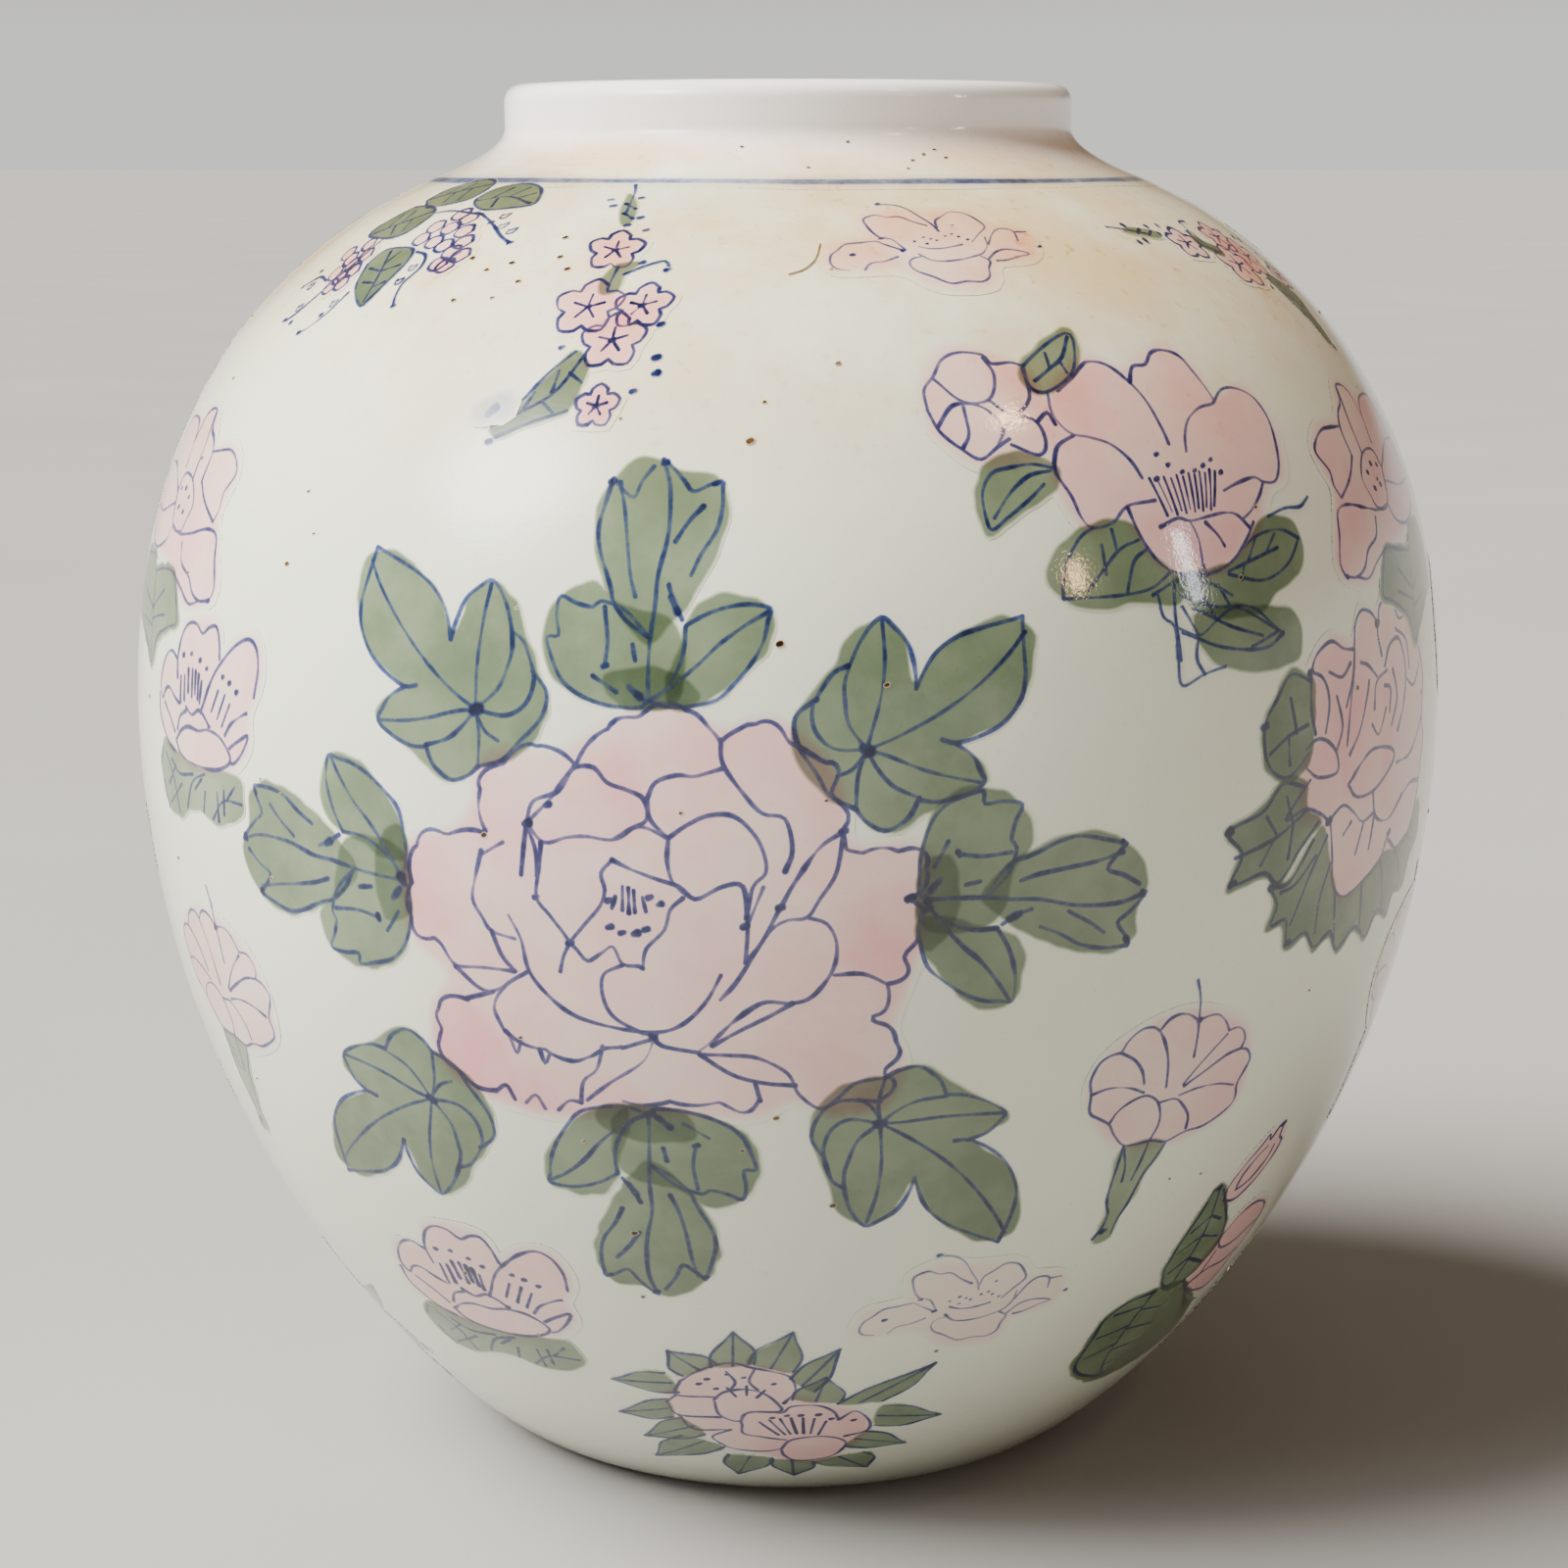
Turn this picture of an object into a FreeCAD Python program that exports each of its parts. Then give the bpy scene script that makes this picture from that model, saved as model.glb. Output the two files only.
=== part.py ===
"""Open ginger jar in glazed porcelain, modelled the way a potter builds one of this size.

The clay is five pieces: a turned foot ring, a base slab, a lower and an upper body section, and
a flanged neck collar. Films of luting slip join them, and three coats of glaze cover them: one
outside, one inside and one in the recess of the foot. Only the face that stands in the kiln is
bare clay. Every piece is turned about +Z. The jar stands on z = 0, and the origin is the middle
of its foot. Lengths are in millimetres.
"""

import FreeCAD
import Part
import math
import os

# Driving dimensions, over the glaze.
HEIGHT = 254.0
BELLY_RADIUS = 123.2
BELLY_HEIGHT = 139.0
COLLAR_RADIUS = 52.8
MOUTH_RADIUS = 46.6

# Wall build-up.
GLAZE = 0.4
CLAY_WALL = 5.5
WALL = CLAY_WALL + 2 * GLAZE
SLIP = 0.8

# The body's outline swells to the belly and closes again, as two polynomials in the share of
# the way from the belly: {power: how much of the belly radius is lost}.
LOWER_SPAN = BELLY_HEIGHT
LOWER_LOSS = {2: 0.426, 4: 0.0755, 20: 0.030}
UPPER_SPAN = 100.0
UPPER_LOSS = {2: 0.242, 4: 0.197, 12: 0.066}
STATIONS = 9

# Foot and floor.
GLAZE_LINE_Z = 2.2
FOOT_TOP_Z = 5.0
CONTACT_OUTER = 57.0
CONTACT_INNER = 51.5
RECESS_RADIUS = 50.5
BASE_SLAB_RADIUS = 54.0
FLOOR_Z = 12.5
FLOOR_WALL_STATION = 14.0

# Collar.
COLLAR_STATION = 238.0
COLLAR_FILLET_TOP = 246.0
MOUTH_FILLET_TOP = 243.5
LIP_RADIUS = (COLLAR_RADIUS - MOUTH_RADIUS) / 2
LIP_Z = HEIGHT - LIP_RADIUS


def body_radius(z):
    """Outer radius of the glazed body at height z."""
    span, loss = (LOWER_SPAN, LOWER_LOSS) if z < BELLY_HEIGHT else (UPPER_SPAN, UPPER_LOSS)
    share = abs(z - BELLY_HEIGHT) / span
    return BELLY_RADIUS * (1 - sum(c * share**n for n, c in loss.items()))


def body_slope(z):
    """Change of the outer radius with height."""
    span, loss = (LOWER_SPAN, LOWER_LOSS) if z < BELLY_HEIGHT else (UPPER_SPAN, UPPER_LOSS)
    share = abs(z - BELLY_HEIGHT) / span
    sign = 1.0 if z < BELLY_HEIGHT else -1.0
    return sign * BELLY_RADIUS * sum(n * c * share ** (n - 1) for n, c in loss.items()) / span


def point(radius, z):
    return FreeCAD.Vector(radius, 0, z)


def tangent(z):
    """Upward unit tangent of the wall at station z, the same at every depth."""
    return point(body_slope(z), 1.0).normalize()


def wall_point(z, depth):
    """Point at this depth under the outer face, square to the wall at station z."""
    t = tangent(z)
    return point(body_radius(z), z) + point(-t.z, t.x) * depth


def wall_curve(z_low, z_high, depth):
    """Smooth curve along the wall at one depth, from one station up to another."""
    zs = [z_low + (z_high - z_low) * i / (STATIONS - 1) for i in range(STATIONS)]
    curve = Part.BSplineCurve()
    curve.interpolate(
        Points=[wall_point(z, depth) for z in zs],
        InitialTangent=tangent(z_low),
        FinalTangent=tangent(z_high),
    )
    return curve.toShape()


def line(a, b):
    return Part.makeLine(a, b)


def bend(start, corner, end):
    """Curve from start to end, tangent at both to the lines through the corner."""
    curve = Part.BezierCurve()
    curve.setPoles([start, corner, end])
    return curve.toShape()


def turned(edges):
    """Solid of revolution about +Z of the section that these edges go round."""
    section = Part.Face(Part.Wire(Part.__sortEdges__(edges)))
    solid = section.revolve(FreeCAD.Vector(0, 0, 0), FreeCAD.Vector(0, 0, 1), 360)
    if solid.Volume < 0:
        solid.reverse()
    return solid


def wall_section(low, high):
    """Edges round the clay wall's section between two stations, cut square to the wall."""
    return [
        wall_curve(low, high, CLAY_OUT),
        line(wall_point(high, CLAY_OUT), wall_point(high, CLAY_IN)),
        wall_curve(low, high, CLAY_IN),
        line(wall_point(low, CLAY_OUT), wall_point(low, CLAY_IN)),
    ]


def collar_outside(depth):
    """The collar's outer side at one depth: the fillet at its root, then straight up."""
    radius = COLLAR_RADIUS - depth
    start, t = wall_point(COLLAR_STATION, depth), tangent(COLLAR_STATION)
    corner = start + t * ((radius - start.x) / t.x)
    top = point(radius, COLLAR_FILLET_TOP)
    return [bend(start, corner, top), line(top, point(radius, LIP_Z))]


def collar_inside(depth):
    """The mouth's wall at one depth under the outer face, counted inwards."""
    radius = MOUTH_RADIUS + WALL - depth
    start, t = wall_point(COLLAR_STATION, depth), tangent(COLLAR_STATION)
    corner = start + t * ((radius - start.x) / t.x)
    top = point(radius, MOUTH_FILLET_TOP)
    return [bend(start, corner, top), line(top, point(radius, LIP_Z))]


def lip(inset):
    """Half round over the lip, from the outer side to the mouth."""
    middle = COLLAR_RADIUS - LIP_RADIUS
    r = LIP_RADIUS - inset
    ends = [point(middle + r, LIP_Z), point(middle, LIP_Z + r), point(middle - r, LIP_Z)]
    return Part.Arc(*ends).toShape()


def half_lip(inset, outer):
    """Quarter round from the crest of the lip to the outer side or to the mouth."""
    middle = COLLAR_RADIUS - LIP_RADIUS
    r = (LIP_RADIUS - inset) * (1 if outer else -1)
    diagonal = math.sqrt(0.5)
    between = point(middle + r * diagonal, LIP_Z + abs(r) * diagonal)
    return Part.Arc(point(middle + r, LIP_Z), between, point(middle, LIP_Z + abs(r))).toShape()


def floor_bend(depth, floor_z):
    """Curve from the floor into the wall, at this depth in the wall."""
    end, t = wall_point(FLOOR_WALL_STATION, depth), tangent(FLOOR_WALL_STATION)
    corner = end - t * ((end.z - floor_z) / t.z)
    return bend(point(BASE_SLAB_RADIUS, floor_z), corner, end)


def station_at(z, depth):
    """Station whose point at this depth lies at height z, found by halving."""
    low, high = 0.0, BELLY_HEIGHT
    while high - low > 1e-9:
        middle = (low + high) / 2
        low, high = (middle, high) if wall_point(middle, depth).z < z else (low, middle)
    return low


CLAY_OUT = GLAZE
CLAY_IN = GLAZE + CLAY_WALL
FOOT_STATION = station_at(FOOT_TOP_Z, CLAY_OUT)
LUTED_STATION = station_at(FOOT_TOP_Z + SLIP, CLAY_OUT)
GLAZE_LINE_STATION = station_at(GLAZE_LINE_Z, CLAY_OUT)
BELLY_LOW = BELLY_HEIGHT - SLIP / 2
BELLY_HIGH = BELLY_HEIGHT + SLIP / 2


def foot_ring():
    """Turned ring with a flat contact face and a bevel up to the glaze line."""
    glaze_line = wall_point(GLAZE_LINE_STATION, CLAY_OUT)
    outer_top = wall_point(FOOT_STATION, CLAY_OUT)
    inner_top = point(RECESS_RADIUS, FOOT_TOP_Z)
    contact = [point(CONTACT_INNER, 0), point(CONTACT_OUTER, 0)]
    return turned(
        [
            line(inner_top, contact[0]),
            line(*contact),
            line(contact[1], glaze_line),
            wall_curve(GLAZE_LINE_STATION, FOOT_STATION, CLAY_OUT),
            line(outer_top, inner_top),
        ]
    )


def foot_slip_joint():
    """Film of slip that the walls and the base slab are bedded on."""
    low, high = point(RECESS_RADIUS, FOOT_TOP_Z), point(RECESS_RADIUS, FOOT_TOP_Z + SLIP)
    return turned(
        [
            line(low, high),
            line(low, wall_point(FOOT_STATION, CLAY_OUT)),
            wall_curve(FOOT_STATION, LUTED_STATION, CLAY_OUT),
            line(wall_point(LUTED_STATION, CLAY_OUT), high),
        ]
    )


def base_slab():
    """Flat disc that closes the bottom. Its edge stands on the foot ring."""
    low = FOOT_TOP_Z + SLIP
    return Part.makeCylinder(BASE_SLAB_RADIUS, FLOOR_Z - low, FreeCAD.Vector(0, 0, low))


def lower_body():
    """Bowl-shaped wall from the foot up to the belly."""
    low = FOOT_TOP_Z + SLIP
    corners = [point(BASE_SLAB_RADIUS, FLOOR_Z), point(BASE_SLAB_RADIUS, low)]
    return turned(
        [
            line(*corners),
            line(corners[1], wall_point(LUTED_STATION, CLAY_OUT)),
            wall_curve(LUTED_STATION, BELLY_LOW, CLAY_OUT),
            line(wall_point(BELLY_LOW, CLAY_OUT), wall_point(BELLY_LOW, CLAY_IN)),
            wall_curve(FLOOR_WALL_STATION, BELLY_LOW, CLAY_IN),
            floor_bend(CLAY_IN, FLOOR_Z),
        ]
    )


def belly_slip_joint():
    """Band of slip between the two body sections, as deep as the wall."""
    return turned(wall_section(BELLY_LOW, BELLY_HIGH))


def upper_body():
    """Domed wall from the belly over the shoulder to the opening for the collar."""
    return turned(wall_section(BELLY_HIGH, COLLAR_STATION - SLIP))


def collar_slip_joint():
    """Cone-shaped film of slip between the shoulder and the collar's root."""
    return turned(wall_section(COLLAR_STATION - SLIP, COLLAR_STATION))


def neck_collar():
    """Upright collar with a flared root and a rounded lip."""
    root = [wall_point(COLLAR_STATION, CLAY_OUT), wall_point(COLLAR_STATION, CLAY_IN)]
    return turned([*collar_outside(CLAY_OUT), lip(GLAZE), *collar_inside(CLAY_IN), line(*root)])


def body_curves(depth, low, edges):
    """Wall curves at one depth from a low station to the collar, split where the clay is."""
    breaks = [low, *edges]
    return [wall_curve(a, b, depth) for a, b in zip(breaks, breaks[1:])]


def exterior_glaze():
    """Clear coat from the glaze line at the foot to the crest of the lip."""
    crest = HEIGHT - LIP_RADIUS + LIP_RADIUS
    middle = COLLAR_RADIUS - LIP_RADIUS
    stations = [FOOT_STATION, LUTED_STATION, BELLY_LOW, BELLY_HIGH, COLLAR_STATION - SLIP, COLLAR_STATION]
    return turned(
        [
            line(wall_point(GLAZE_LINE_STATION, 0), wall_point(GLAZE_LINE_STATION, CLAY_OUT)),
            *body_curves(0, GLAZE_LINE_STATION, [BELLY_HEIGHT, COLLAR_STATION]),
            *collar_outside(0),
            half_lip(0, outer=True),
            line(point(middle, HEIGHT), point(middle, HEIGHT - GLAZE)),
            half_lip(GLAZE, outer=True),
            *collar_outside(CLAY_OUT),
            *body_curves(CLAY_OUT, GLAZE_LINE_STATION, stations),
        ]
    )


def interior_glaze():
    """Coat on the floor, up the inside of the walls and over to the crest of the lip."""
    middle = COLLAR_RADIUS - LIP_RADIUS
    top = FLOOR_Z + GLAZE
    centre = [point(0, FLOOR_Z), point(0, top)]
    stations = [BELLY_LOW, BELLY_HIGH, COLLAR_STATION - SLIP, COLLAR_STATION]
    return turned(
        [
            line(*centre),
            line(centre[0], point(BASE_SLAB_RADIUS, FLOOR_Z)),
            floor_bend(CLAY_IN, FLOOR_Z),
            *body_curves(CLAY_IN, FLOOR_WALL_STATION, stations),
            *collar_inside(CLAY_IN),
            half_lip(GLAZE, outer=False),
            line(point(middle, HEIGHT - GLAZE), point(middle, HEIGHT)),
            half_lip(0, outer=False),
            *collar_inside(WALL),
            *body_curves(WALL, FLOOR_WALL_STATION, [BELLY_HEIGHT, COLLAR_STATION]),
            floor_bend(WALL, top),
            line(point(BASE_SLAB_RADIUS, top), centre[1]),
        ]
    )


def base_glaze():
    """Coat on the underside of the base slab, inside the foot ring."""
    top = FOOT_TOP_Z + SLIP
    return Part.makeCylinder(RECESS_RADIUS, GLAZE, FreeCAD.Vector(0, 0, top - GLAZE))


PIECES = [
    foot_ring,
    foot_slip_joint,
    base_slab,
    lower_body,
    belly_slip_joint,
    upper_body,
    collar_slip_joint,
    neck_collar,
    exterior_glaze,
    interior_glaze,
    base_glaze,
]


def main():
    os.makedirs("parts", exist_ok=True)
    for make in PIECES:
        solid = make()
        if not solid.isValid() or solid.Volume <= 0:
            raise ValueError(f"{make.__name__} is not a closed solid")
        solid.exportStep(f"parts/{make.__name__}.step")
        print(f"{make.__name__}: {solid.Volume / 1000:.1f} cm3")


main()
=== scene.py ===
"""Blender scene of a hand-painted porcelain ginger jar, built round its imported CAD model.

The painting lies under the glaze. Each stamped or brushed motif is a thin film on the outside of
the jar, a few hundredths of a millimetre thick, whose points carry how much pink, green and cobalt
is laid there. A place on the jar is an angle round it, 0 at the front and positive to the right
as seen from the camera, and a distance along its outline, up from the foot. Motifs are drawn in
millimetres about their own middle, x to the right and y up the outline.
"""

import math
import zlib

import bpy
import numpy as np
from mathutils.geometry import delaunay_2d_cdt
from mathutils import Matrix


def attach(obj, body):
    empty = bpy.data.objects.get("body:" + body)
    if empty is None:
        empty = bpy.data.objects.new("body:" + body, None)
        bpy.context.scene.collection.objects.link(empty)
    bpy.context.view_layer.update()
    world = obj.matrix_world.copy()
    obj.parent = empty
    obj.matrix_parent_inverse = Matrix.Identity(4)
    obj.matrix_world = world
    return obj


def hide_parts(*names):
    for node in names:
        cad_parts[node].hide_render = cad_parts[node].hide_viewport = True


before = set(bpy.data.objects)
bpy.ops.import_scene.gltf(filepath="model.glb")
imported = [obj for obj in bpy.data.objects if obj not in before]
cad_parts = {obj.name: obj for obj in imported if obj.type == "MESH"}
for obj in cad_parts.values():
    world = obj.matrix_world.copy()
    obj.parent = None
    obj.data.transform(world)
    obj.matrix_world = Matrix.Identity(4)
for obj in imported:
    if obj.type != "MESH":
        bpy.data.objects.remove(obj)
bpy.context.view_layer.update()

MM = 0.001

# The outline of the glazed outside.
FIRST_ALONG = 3.35
TRACE_STEP = 0.25
SHELL_DEPTH = 0.35
SHELL_COLUMNS = 360
# Up to each distance along, the step between the shell's rings.
RING_STEPS = ((262, 2.4), (290, 1.2), (math.inf, 0.6))

# The waves of a hand-turned wall: depth, waves round the jar, length up the wall, phase.
WAVES = ((0.05, 3, 31, 0.7), (0.035, 7, -17, 2.1), (0.014, 11, 9, 4.0))
TURNING_DEPTH = 0.008
TURNING_PITCH = 12
WAVE_FADE = 10

# Films of paint.
FILM_LIFT = 0.05
FILM_FOOT = -0.06
FILM_ORDER_STEP = 0.012
STROKE_STEP = 0.9
CORE_SHARE = 0.5
GRID_STEP = 3.0
COVERAGE_FLOOR = 0.02
SECOND_COAT = 0.55

# Colours in linear light: what the bare glaze returns, and what one coat of each pigment lets
# through.
BODY_GLAZE = (0.70, 0.73, 0.61)
# The neck's own glaze is whiter than the body's, and this colour is lightened beyond it as painted
# light, standing in for the brighter light and reflection on the neck.
NECK_GLAZE_AND_PAINTED_LIGHT = (0.88, 0.84, 0.83)
STAIN = (0.86, 0.58, 0.32)
PINK_COAT = (0.99, 0.60, 0.69)
GREEN_COAT = (0.195, 0.25, 0.18)
COBALT_COAT = (0.075, 0.105, 0.32)
IRON_COAT = (0.16, 0.09, 0.045)
GLAZE_IOR = 1.52

# The cobalt line round the neck: each wave is its size and how often it comes round the jar.
BAND_ALONG = 279.7
BAND_COLUMNS = 720
BAND_DRIFT = ((0.22, 1), (0.12, 3), (0.05, 11))
BAND_WIDTH = 2.4
BAND_WIDTH_WAVES = ((0.3, 5), (0.12, 17))
BAND_DEPTH = 0.8
BAND_DEPTH_WAVES = ((0.2, 4), (0.12, 13), (0.10, 41))
# Across the line, in half widths from its middle, and how much of the colour lies there.
BAND_SHARES = (-2.4, -1.0, -0.5, 0.5, 1.0, 2.4)
BAND_LAID = (0.0, 0.10, 1.0, 1.0, 0.10, 0.0)

# Specks in the glaze.
SPECK_FIELDS = 6
SPECKS_IN_FIELD = 16
SPECK_SEED = 500
SPECK_MIDDLE = 160

# The studio, in metres and degrees.
JAR_MIDDLE = (0, 0, 0.17)
BELLY = (0.0, 0.0, 0.14)
DAYLIGHT_FROM = (-0.90, -0.08, 1.24)
DAYLIGHT_STRENGTH = 13.5
DAYLIGHT_WIDTH = 42
DAYLIGHT_COLOUR = (1.0, 0.96, 0.89)
WINDOW_FROM = (-0.88, -0.61, 0.91)
WINDOW_SIZE = (0.85, 0.85)
WINDOW_POWER = 40
WINDOW_COLOUR = (0.98, 0.99, 1.0)
# Small lamps that show as glints: name, place, size, power, colour.
SMALL_LAMPS = (
    ("warm_lamp_low", (0.85, -0.75, 0.55), (0.05, 0.10), 0.5, (1.0, 0.62, 0.33)),
    ("warm_lamp_high", (0.62, -0.5, 1.05), (0.09, 0.05), 0.8, (1.0, 0.62, 0.35)),
    ("small_window", (0.95, -0.35, 0.45), (0.04, 0.2), 0.5, (0.95, 0.97, 1.0)),
)
ROOM_AIR = (0.20, 0.155, 0.115)
LEFT_AIR = (1.1, 1.1, 1.1)
HORIZON = (0.84, 0.83, 0.81)
FLOOR_TONES = ((0.30, 0.296, 0.29), (0.285, 0.281, 0.275))
FLOOR_REACH = 60.0
CAMERA_PLACE = (-0.00075, -0.5912, 0.2409)
CAMERA_TILT = 78.54
CAMERA_LENS = 71.03
CAMERA_SENSOR = 36


# ---------------------------------------------------------------- the outside of the jar


def outer_profile():
    """Distance along, radius and height of the glaze's outer face in mm, evenly spaced."""
    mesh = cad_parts["exterior_glaze"].data
    points = set()
    for face in mesh.polygons:
        outward = face.normal.x * face.center.x + face.normal.y * face.center.y
        if outward > 0.03 * face.center.xy.length:
            for index in face.vertices:
                co = mesh.vertices[index].co
                points.add((round(co.z / MM, 3), round(co.xy.length / MM, 3)))
    kept = []
    for z, r in sorted(points):
        if not kept or math.hypot(z - kept[-1][0], r - kept[-1][1]) > 0.05:
            kept.append((z, r))
    z, r = np.array(kept).T
    along = FIRST_ALONG + np.concatenate(([0.0], np.cumsum(np.hypot(np.diff(z), np.diff(r)))))
    even = np.arange(along[0], along[-1], TRACE_STEP)
    even = np.append(even, along[-1])
    return even, np.interp(even, along, r), np.interp(even, along, z)


def smooth_row(values, reach):
    """The running mean of a row over this many neighbours on each side."""
    padded = np.pad(values, reach, mode="edge")
    return np.convolve(padded, np.ones(2 * reach + 1) / (2 * reach + 1), mode="valid")


ALONG, RADIUS, HEIGHT = outer_profile()
TANGENT_R = smooth_row(np.gradient(RADIUS, ALONG), 4)
TANGENT_Z = smooth_row(np.gradient(HEIGHT, ALONG), 4)
TOP_ALONG = float(ALONG[-1])


def waviness(theta, along):
    """How far the hand-finished surface stands off the true outline, in mm."""
    waves = sum(depth * np.sin(round_jar * theta + along / length + phase)
                for depth, round_jar, length, phase in WAVES)
    turning = TURNING_DEPTH * np.sin(along * 2 * math.pi / TURNING_PITCH)
    fade = np.clip(np.minimum(along - ALONG[0], ALONG[-1] - along) / WAVE_FADE, 0, 1)
    return (waves + turning) * fade


def jar_point(theta, along, lift):
    """Point in mm at this angle and distance along the outline, lift above the glaze."""
    r = np.interp(along, ALONG, RADIUS)
    z = np.interp(along, ALONG, HEIGHT)
    tr = np.interp(along, ALONG, TANGENT_R)
    tz = np.interp(along, ALONG, TANGENT_Z)
    out = (lift + waviness(theta, along)) / np.hypot(tr, tz)
    r = r + out * tz
    z = z - out * tr
    return np.stack((r * np.sin(theta), -r * np.cos(theta), z), axis=-1)


def on_jar(theta, along, lift):
    """Points in metres on the waved surface, and its outward normals there."""
    step = 0.4  # the reach in mm over which the slope is taken
    turn = step / np.interp(along, ALONG, RADIUS)
    across = jar_point(theta + turn, along, lift) - jar_point(theta - turn, along, lift)
    up = jar_point(theta, along + step, lift) - jar_point(theta, along - step, lift)
    normal = np.cross(across, up)
    normal /= np.linalg.norm(normal, axis=-1, keepdims=True)
    return jar_point(theta, along, lift) * MM, normal


def link_new(name, data):
    """New object that holds this data, linked into the scene."""
    thing = bpy.data.objects.new(name, data)
    bpy.context.scene.collection.objects.link(thing)
    return thing


def add_piece(name, points, faces, normals, material):
    """New mesh object that rides on the jar, shaded with these normals."""
    mesh = bpy.data.meshes.new(name)
    mesh.from_pydata(points.tolist(), [], faces)
    mesh.polygons.foreach_set("use_smooth", [True] * len(mesh.polygons))
    mesh.materials.append(material)
    mesh.normals_split_custom_set_from_vertices(normals.tolist())
    piece = link_new(name, mesh)
    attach(piece, "root")
    return piece


def add_pigment(piece, pigment):
    """Stores pink, green, cobalt and iron at every point of a piece."""
    colour = piece.data.attributes.new("pigment", "FLOAT_COLOR", "POINT")
    rgba = np.ones((len(pigment), 4), np.float32)
    rgba[:, :3] = pigment[:, :3]
    colour.data.foreach_set("color", rgba.ravel())
    iron = piece.data.attributes.new("iron", "FLOAT", "POINT")
    iron.data.foreach_set("value", pigment[:, 3].astype(np.float32))


def lathe_stations():
    """Distances along the outline of the shell's rings, close together where it bends."""
    rows = [ALONG[0]]
    while rows[-1] < TOP_ALONG:
        step = next(size for limit, size in RING_STEPS if rows[-1] < limit)
        rows.append(min(rows[-1] + step, TOP_ALONG))
    return np.array(rows)


def glazed_surface(material):
    """Closed shell of clear glaze, with the faint waves that a hand-turned wall has."""
    rows = lathe_stations()
    columns = SHELL_COLUMNS
    theta = np.arange(columns) * 2 * math.pi / columns
    grid_theta, grid_along = np.meshgrid(theta, rows)
    outer, outer_normal = on_jar(grid_theta.ravel(), grid_along.ravel(), 0.0)
    inner, inner_normal = on_jar(grid_theta.ravel(), grid_along.ravel(), -SHELL_DEPTH)
    count = len(rows) * columns
    faces = []
    for row in range(len(rows) - 1):
        for column in range(columns):
            a = row * columns + column
            b = row * columns + (column + 1) % columns
            c, d = b + columns, a + columns
            faces.append((a, b, c, d))
            faces.append((count + d, count + c, count + b, count + a))
    last = (len(rows) - 1) * columns
    for column in range(columns):
        a, b = column, (column + 1) % columns
        faces.append((count + a, count + b, b, a))
        faces.append((last + a, last + b, count + last + b, count + last + a))
    points = np.concatenate((outer, inner))
    normals = np.concatenate((outer_normal, -inner_normal))
    piece = add_piece("glazed_surface", points, faces, normals, material)
    add_pigment(piece, np.zeros((len(points), 4)))
    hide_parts("exterior_glaze")


# ---------------------------------------------------------------- drawing in the flat


def curve_through(points, closed=False, step=STROKE_STEP):
    """Smooth curve through these points, sampled about every step mm."""
    p = np.array(points, float)
    if len(p) == 2:
        count = max(2, int(np.linalg.norm(p[1] - p[0]) / step) + 1)
        share = np.linspace(0, 1, count)[:, None]
        return p[0] + (p[1] - p[0]) * share
    if closed:
        p = np.concatenate((p[-1:], p, p[:2]))
    else:
        p = np.concatenate(([2 * p[0] - p[1]], p, [2 * p[-1] - p[-2]]))
    out = []
    for a, b, c, d in zip(p, p[1:], p[2:], p[3:]):
        count = max(1, int(math.ceil(np.linalg.norm(c - b) / step)))
        t = (np.arange(count) / count)[:, None]
        bend = 2 * a - 5 * b + 4 * c - d
        twist = -a + 3 * b - 3 * c + d
        out.append(0.5 * (2 * b + (c - a) * t + bend * t**2 + twist * t**3))
    if not closed:
        out.append(p[-2:-1])
    return np.concatenate(out)


def side_normals(path, closed=False):
    """Unit normals, to the left of the way along a path."""
    if closed:
        ahead = np.roll(path, -1, axis=0) - np.roll(path, 1, axis=0)
    else:
        ahead = np.gradient(path, axis=0)
    ahead /= np.maximum(np.linalg.norm(ahead, axis=1, keepdims=True), 1e-9)
    return np.stack((-ahead[:, 1], ahead[:, 0]), axis=1)


def segment_distance(points, path, closed=False):
    """Distance from each point to a path, and the place along the path nearest to it."""
    a = path if closed else path[:-1]
    b = np.roll(path, -1, axis=0) if closed else path[1:]
    span = b - a
    length2 = np.maximum((span**2).sum(axis=1), 1e-12)
    offset = points[:, None, :] - a[None]
    t = np.clip((offset * span[None]).sum(axis=2) / length2[None], 0, 1)
    gap = np.linalg.norm(offset - t[..., None] * span[None], axis=2)
    nearest = gap.argmin(axis=1)
    rows = np.arange(len(points))
    return gap[rows, nearest], nearest + t[rows, nearest]


def inside(points, loop):
    """Which points lie inside a closed loop."""
    x, y = points[:, 0, None], points[:, 1, None]
    x0, y0 = loop[:, 0], loop[:, 1]
    x1, y1 = np.roll(x0, -1), np.roll(y0, -1)
    spans = (y0 > y) != (y1 > y)
    cut = x0 + (y - y0) * (x1 - x0) / np.where(y1 == y0, 1e-12, y1 - y0)
    return (spans & (x < cut)).sum(axis=1) % 2 == 1


def smoothstep(t):
    """0 below 0, 1 above 1 and an even S-shaped rise between them."""
    t = np.clip(t, 0, 1)
    return t * t * (3 - 2 * t)


def wobble(points, dice, size, wave):
    """Moves drawn points by a smooth random field, as an unsteady hand does."""
    moved = points.copy()
    for axis in (0, 1):
        for _ in range(3):
            heading = dice.uniform(0, 2 * math.pi)
            phase = dice.uniform(0, 2 * math.pi)
            length = wave * dice.uniform(0.7, 1.4)
            way = points[:, 0] * math.cos(heading) + points[:, 1] * math.sin(heading)
            moved[:, axis] += size * 0.6 * np.sin(way * 2 * math.pi / length + phase)
    return moved


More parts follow.
